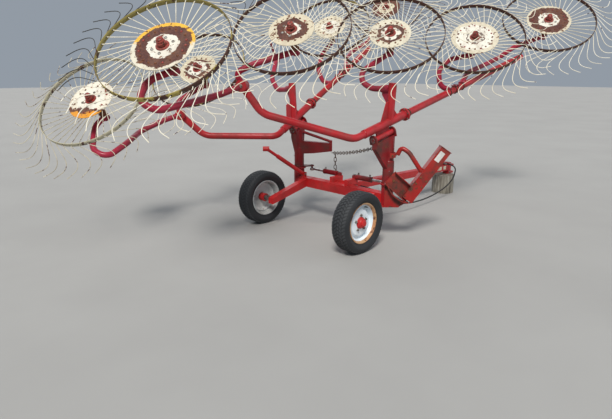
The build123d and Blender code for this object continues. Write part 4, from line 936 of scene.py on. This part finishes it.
def cylinder_details(side):
    way = SIDES[side]
    shape = Shape()
    for along, low, high in ((36.0, 0.0, 0.012), (250, -0.016, 0.003)):
        place = look_along(row_point(CYLINDER_X, way * (CYLINDER_BASE_Y + along), CYLINDER_Z), (0, way, 0))
        shape.lathe([(0.0295, low), (0.0325, low + 0.001), (0.0325, high - 0.001), (0.016, high)],
                    36, 0, place)
    for along in (62.0, 228):
        place = look_along(row_point(CYLINDER_X, way * (CYLINDER_BASE_Y + along), CYLINDER_Z + 29.0), UP)
        shape.lathe([(0.011, -0.004), (0.011, 0.006), (0.008, 0.007), (0.008, 0.016), (0.0105, 0.016),
                     (0.0105, 0.026), (0.006, 0.027), (0.0, 0.027)], 6, 1, place)
    shape.build("trim_barrel_" + side, ["dark", "bolt"], "barrel_" + side, 30.0)
    pin = Shape()
    pin_top = look_along(row_point(CYLINDER_X, way * CYLINDER_BASE_Y, CYLINDER_Z + 24.0), UP)
    pin.lathe([(0.0, 0.0), (0.019, 0.0), (0.019, 0.003), (0.0, 0.0035)], 24, 0, pin_top)
    pin.build("trim_pin_" + side, ["bolt"], "frame", 35.0)


def plate_on(shape, centre, along, across, size, slot):
    """Thin label with its length along one way and its width along another."""
    normal = Vector(along).cross(Vector(across)).normalized()
    shape.pad(size[0] / 2, size[1] / 2, 0.0007, slot, look_along(centre, normal, along), 0.0002)


def drawbar_point(x, y, lift=0.0):
    """Point beside the drawbar's middle line, in mm."""
    start_x, start_z = DRAWBAR_START
    run_x, run_z = DRAWBAR_RUN
    return row_point(x, y, start_z + run_z * (x - start_x) / run_x + lift)


def frame_details():
    shape = Shape()
    along = Vector((DRAWBAR_RUN[0], 0.0, DRAWBAR_RUN[1])).normalized()
    for way in (-1.0, 1.0):
        for (x, y, z), (ahead, out, up), size in PAIRED_BOLTS:
            shape.bolt(look_along(row_point(x, way * y, z), (ahead, way * out, up)), size, 0)
        for x in DRAWBAR_BOLTS:
            shape.bolt(look_along(drawbar_point(x, way * DRAWBAR_SIDE), (0, way, 0)), 0.012, 0)
        for x, length in DRAWBAR_BANDS:
            plate_on(shape, drawbar_point(x, way * 45.25, 4.0), along * -way, UP, (length, 0.052), 2)
    for place, facing, size in SINGLE_BOLTS:
        shape.bolt(look_along(row_point(*place), facing), size, 0)
    shape.bead(row_point(20.5, 629.5, 905), (1, -1, 0), 0.0295, 1, 0.002)
    shape.build("trim_frame", ["bolt", "bright", "band"], "frame")


def stand_point(out, height, near):
    turn = math.radians(STAND_TURN)
    return row_point(COLUMN_X + out * math.cos(turn) + near * math.sin(turn),
                     -COLUMN_Y + out * math.sin(turn) - near * math.cos(turn), height)


def stand_box_point(share):
    """Point on the near face of the stand's slanted box, a share of the way up."""
    foot_out, foot_height = STAND_BOX_FOOT
    run_out, run_height = STAND_BOX_RUN
    return stand_point(foot_out + run_out * share, foot_height + run_height * share, STAND_BOX_FACE)


def stand_details():
    shape = Shape()
    normal = stand_point(0, 0, 1000) - stand_point(0, 0, 0)
    slant = (stand_box_point(1.0) - stand_box_point(0.0)).normalized()
    across = normal.cross(slant).normalized()
    plate_on(shape, stand_box_point(0.85) + across * 0.012, slant, across, (0.112, 0.056), 1)
    for share in (0.3, 0.42):
        for lift in (0.036, -0.036):
            shape.bolt(look_along(stand_box_point(share) + across * lift, normal), 0.01, 0)
    for out, height in ((45.0, 668), (185, 546)):
        shape.bolt(look_along(stand_point(out, height, 111.2), normal), 0.014, 0)
    for angle in (-45.0, -115, 25.0):
        axis = polar(1.0, angle)
        shape.bolt(look_along(row_point(COLUMN_X, -COLUMN_Y, 925) + axis * 0.0752, axis), 0.011, 0)
    shape.build("trim_stand", ["rust", "label"], "frame")


# Chain and stump
def oval_link(shape, middle, along, side):
    """Round-wire link about a middle point."""
    ring = []
    end = CHAIN_WIDTH / 2
    straight = (CHAIN_PITCH + CHAIN_WIRE) / 2 - end
    for step in range(16):
        turn = 2 * math.pi * (step + 0.5) / 16
        x = end * math.cos(turn) + (straight if math.cos(turn) > 0 else -straight)
        ring.append((x, end * math.sin(turn), 0.0))
    shape.sweep(ring, CHAIN_WIRE / 2, 6, 0, look_along(middle, Vector(along).cross(side), along), closed=True)


def chain_run(shape, path, first):
    """Links one after another along a path, each turned square to the last."""
    joints = [path[0]]
    for point in path:
        if (point - joints[-1]).length >= CHAIN_PITCH:
            joints.append(joints[-1] + (point - joints[-1]).normalized() * CHAIN_PITCH)
    for index, (low, high) in enumerate(zip(joints[:-1], joints[1:])):
        along = (high - low).normalized()
        level = UP.cross(along) if abs(along.z) < 0.95 else Vector((0.6, 0.8, 0.0))
        side = level.normalized() if (index + first) % 2 else along.cross(level).normalized()
        oval_link(shape, (low + high) / 2, along, side)
    return joints


def chain():
    """Rusty chain between the two wings, with its spare end hanging."""
    shape = Shape()
    start, end = (row_point(*place) for place in CHAIN_ENDS)
    shares = [step / 300 for step in range(301)]
    path = [start.lerp(end, share) - UP * CHAIN_SAG * share * (1.0 - share) for share in shares]
    joints = chain_run(shape, path, 0)
    hang = joints[-3] - UP * 0.012
    chain_run(shape, [hang - UP * 0.002 * step for step in range(102)], 1)
    links = shape.build("chain_links", ["chain"], "right_wing", 60.0)
    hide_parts("tie_chain")


def stump_edge(waves, grooves, turn, level):
    """Radius of the stump's uneven side at one turn and height."""
    swell = sum(part * math.sin(count * turn + shift) for count, shift, part in waves)
    radius = STUMP_RADIUS + 0.0022 * swell
    for at, width, depth in grooves:
        away = abs((turn - at - 0.25 * level + math.pi) % (2 * math.pi) - math.pi)
        radius -= depth * max(0.0, 1.0 - away / width)
    return radius - 0.0025 * math.sin(31 * turn + 40.0 * level) * math.sin(17 * turn)


def stump_shape():
    """Sawn log with uneven bark and cracks in its upper face."""
    rng = random.Random("stump")
    waves = [(rng.randint(2, 5), rng.uniform(0, 6.3), rng.uniform(0.3, 1.0)) for wave in range(5)]
    grooves = [(rng.uniform(0, 2 * math.pi), rng.uniform(0.04, 0.11), rng.uniform(0.004, 0.01))
               for groove in range(17)]
    turns = [2 * math.pi * step / STUMP_SEGMENTS for step in range(STUMP_SEGMENTS)]
    bark, top = [], []
    for row in range(STUMP_ROWS + 1):
        level = STUMP_HEIGHT * row / STUMP_ROWS
        ease = STUMP_EASE if row in (0, STUMP_ROWS) else 0.0
        for turn in turns:
            radius = stump_edge(waves, grooves, turn, level) - ease
            bark.append((radius * math.cos(turn), radius * math.sin(turn), level))
    for share in STUMP_TOP_SHARES:
        for turn, (x, y, z) in zip(turns, bark[-STUMP_SEGMENTS:]):
            dip = STUMP_DIP * (math.sin(9 * turn) * share * (1.0 - share) * 4 - 1.0) if share < 1.0 else 0.0
            top.append((x * share, y * share, z + dip))
    place = Matrix.Translation(row_point(STUMP_X, 0.0, 0.0))
    shape = Shape()
    shape.add(bark, ring_faces(STUMP_ROWS + 1, STUMP_SEGMENTS), 0, place)
    inmost = range(len(top) - STUMP_SEGMENTS, len(top))
    shape.add(top, ring_faces(len(STUMP_TOP_SHARES), STUMP_SEGMENTS) + [tuple(inmost)], 1, place)
    shape.add(bark[:STUMP_SEGMENTS], [tuple(reversed(range(STUMP_SEGMENTS)))], 1, place)
    log = shape.build("stump_log", ["bark", "end_grain"], "frame", 25.0)
    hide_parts("drawbar_stump")


for side_name in SIDES:
    wing_details(side_name)
    column_details(side_name)
    cylinder_details(side_name)
frame_details()
stand_details()
chain()
stump_shape()

# Finish of the CAD nodes, by how a node's name starts
NODE_LOOKS = {
    "drawbar_stump": "bark", "cross_beam": "bright", "drawbar": "bright", "hitch_head": "bright",
    "wheel_arm": "bright", "strut": "bright", "axle": "steel", "column_base": "red", "stand": "stand",
    "barrel": "dark", "rod": "chrome", "beam": "red", "extension": "red", "fork": "dark",
    "arm": "magenta", "tie_chain": "chain", "coupler": "steel", "tyre": "rubber", "rim": "rim",
}
for name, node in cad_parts.items():
    key = next((key for start, key in NODE_LOOKS.items() if name.startswith(start)), "wire")
    node.data.materials.clear()
    node.data.materials.append(materials[key])
    custom = node.data.attributes.get("custom_normal")
    if custom:
        node.data.attributes.remove(custom)
    node.data.polygons.foreach_set("use_smooth", [True] * len(node.data.polygons))
    weld = node.modifiers.new("weld", "WELD")
    weld.merge_threshold = 0.00005
    split = node.modifiers.new("split", "EDGE_SPLIT")
    split.split_angle = math.radians(32.0)


# Floor and light
def stage_floor():
    mesh = bpy.data.meshes.new("floor")
    corners = ((-1, -1), (1, -1), (1, 1), (-1, 1))
    mesh.from_pydata([(x * FLOOR_REACH, y * FLOOR_REACH, -EYE.z) for x, y in corners], [], [(0, 1, 2, 3)])
    floor = new_object("floor", mesh)
    m = Nodes("floor_grey", 0.9)
    m.colour(m.ramp(m.noise(0.8, 3.0), [(0.3, (0.32, 0.317, 0.308)), (0.7, (0.345, 0.342, 0.332))]))
    mesh.materials.append(m.material)


def soft_sun(name, place, strength, spread, colour):
    """Even light over the whole floor, from a place towards the machine."""
    data = bpy.data.lights.new(name, "SUN")
    data.energy = strength
    data.angle = math.radians(spread)
    data.color = colour
    light = new_object(name, data)
    light.location = place
    aim(light, Vector(LIGHT_AIM) - Vector(place))


stage_floor()
soft_sun("key", (-11.0, -6.2, 13.0), 3.5, 14.0, (1.0, 0.96, 0.9))
soft_sun("fill", (4.0, -7.0, 5.0), 0.55, 60.0, (0.93, 0.96, 1.0))
soft_sun("back", (1.0, 8.0, 7.0), 0.65, 60.0, (1.0, 1.0, 1.0))
world = bpy.data.worlds.new("studio")
world.use_nodes = True
world.node_tree.nodes["Background"].inputs["Color"].default_value = (0.6, 0.68, 0.78, 1.0)
world.node_tree.nodes["Background"].inputs["Strength"].default_value = 0.48
bpy.context.scene.world = world
bpy.context.scene.view_settings.view_transform = "Standard"
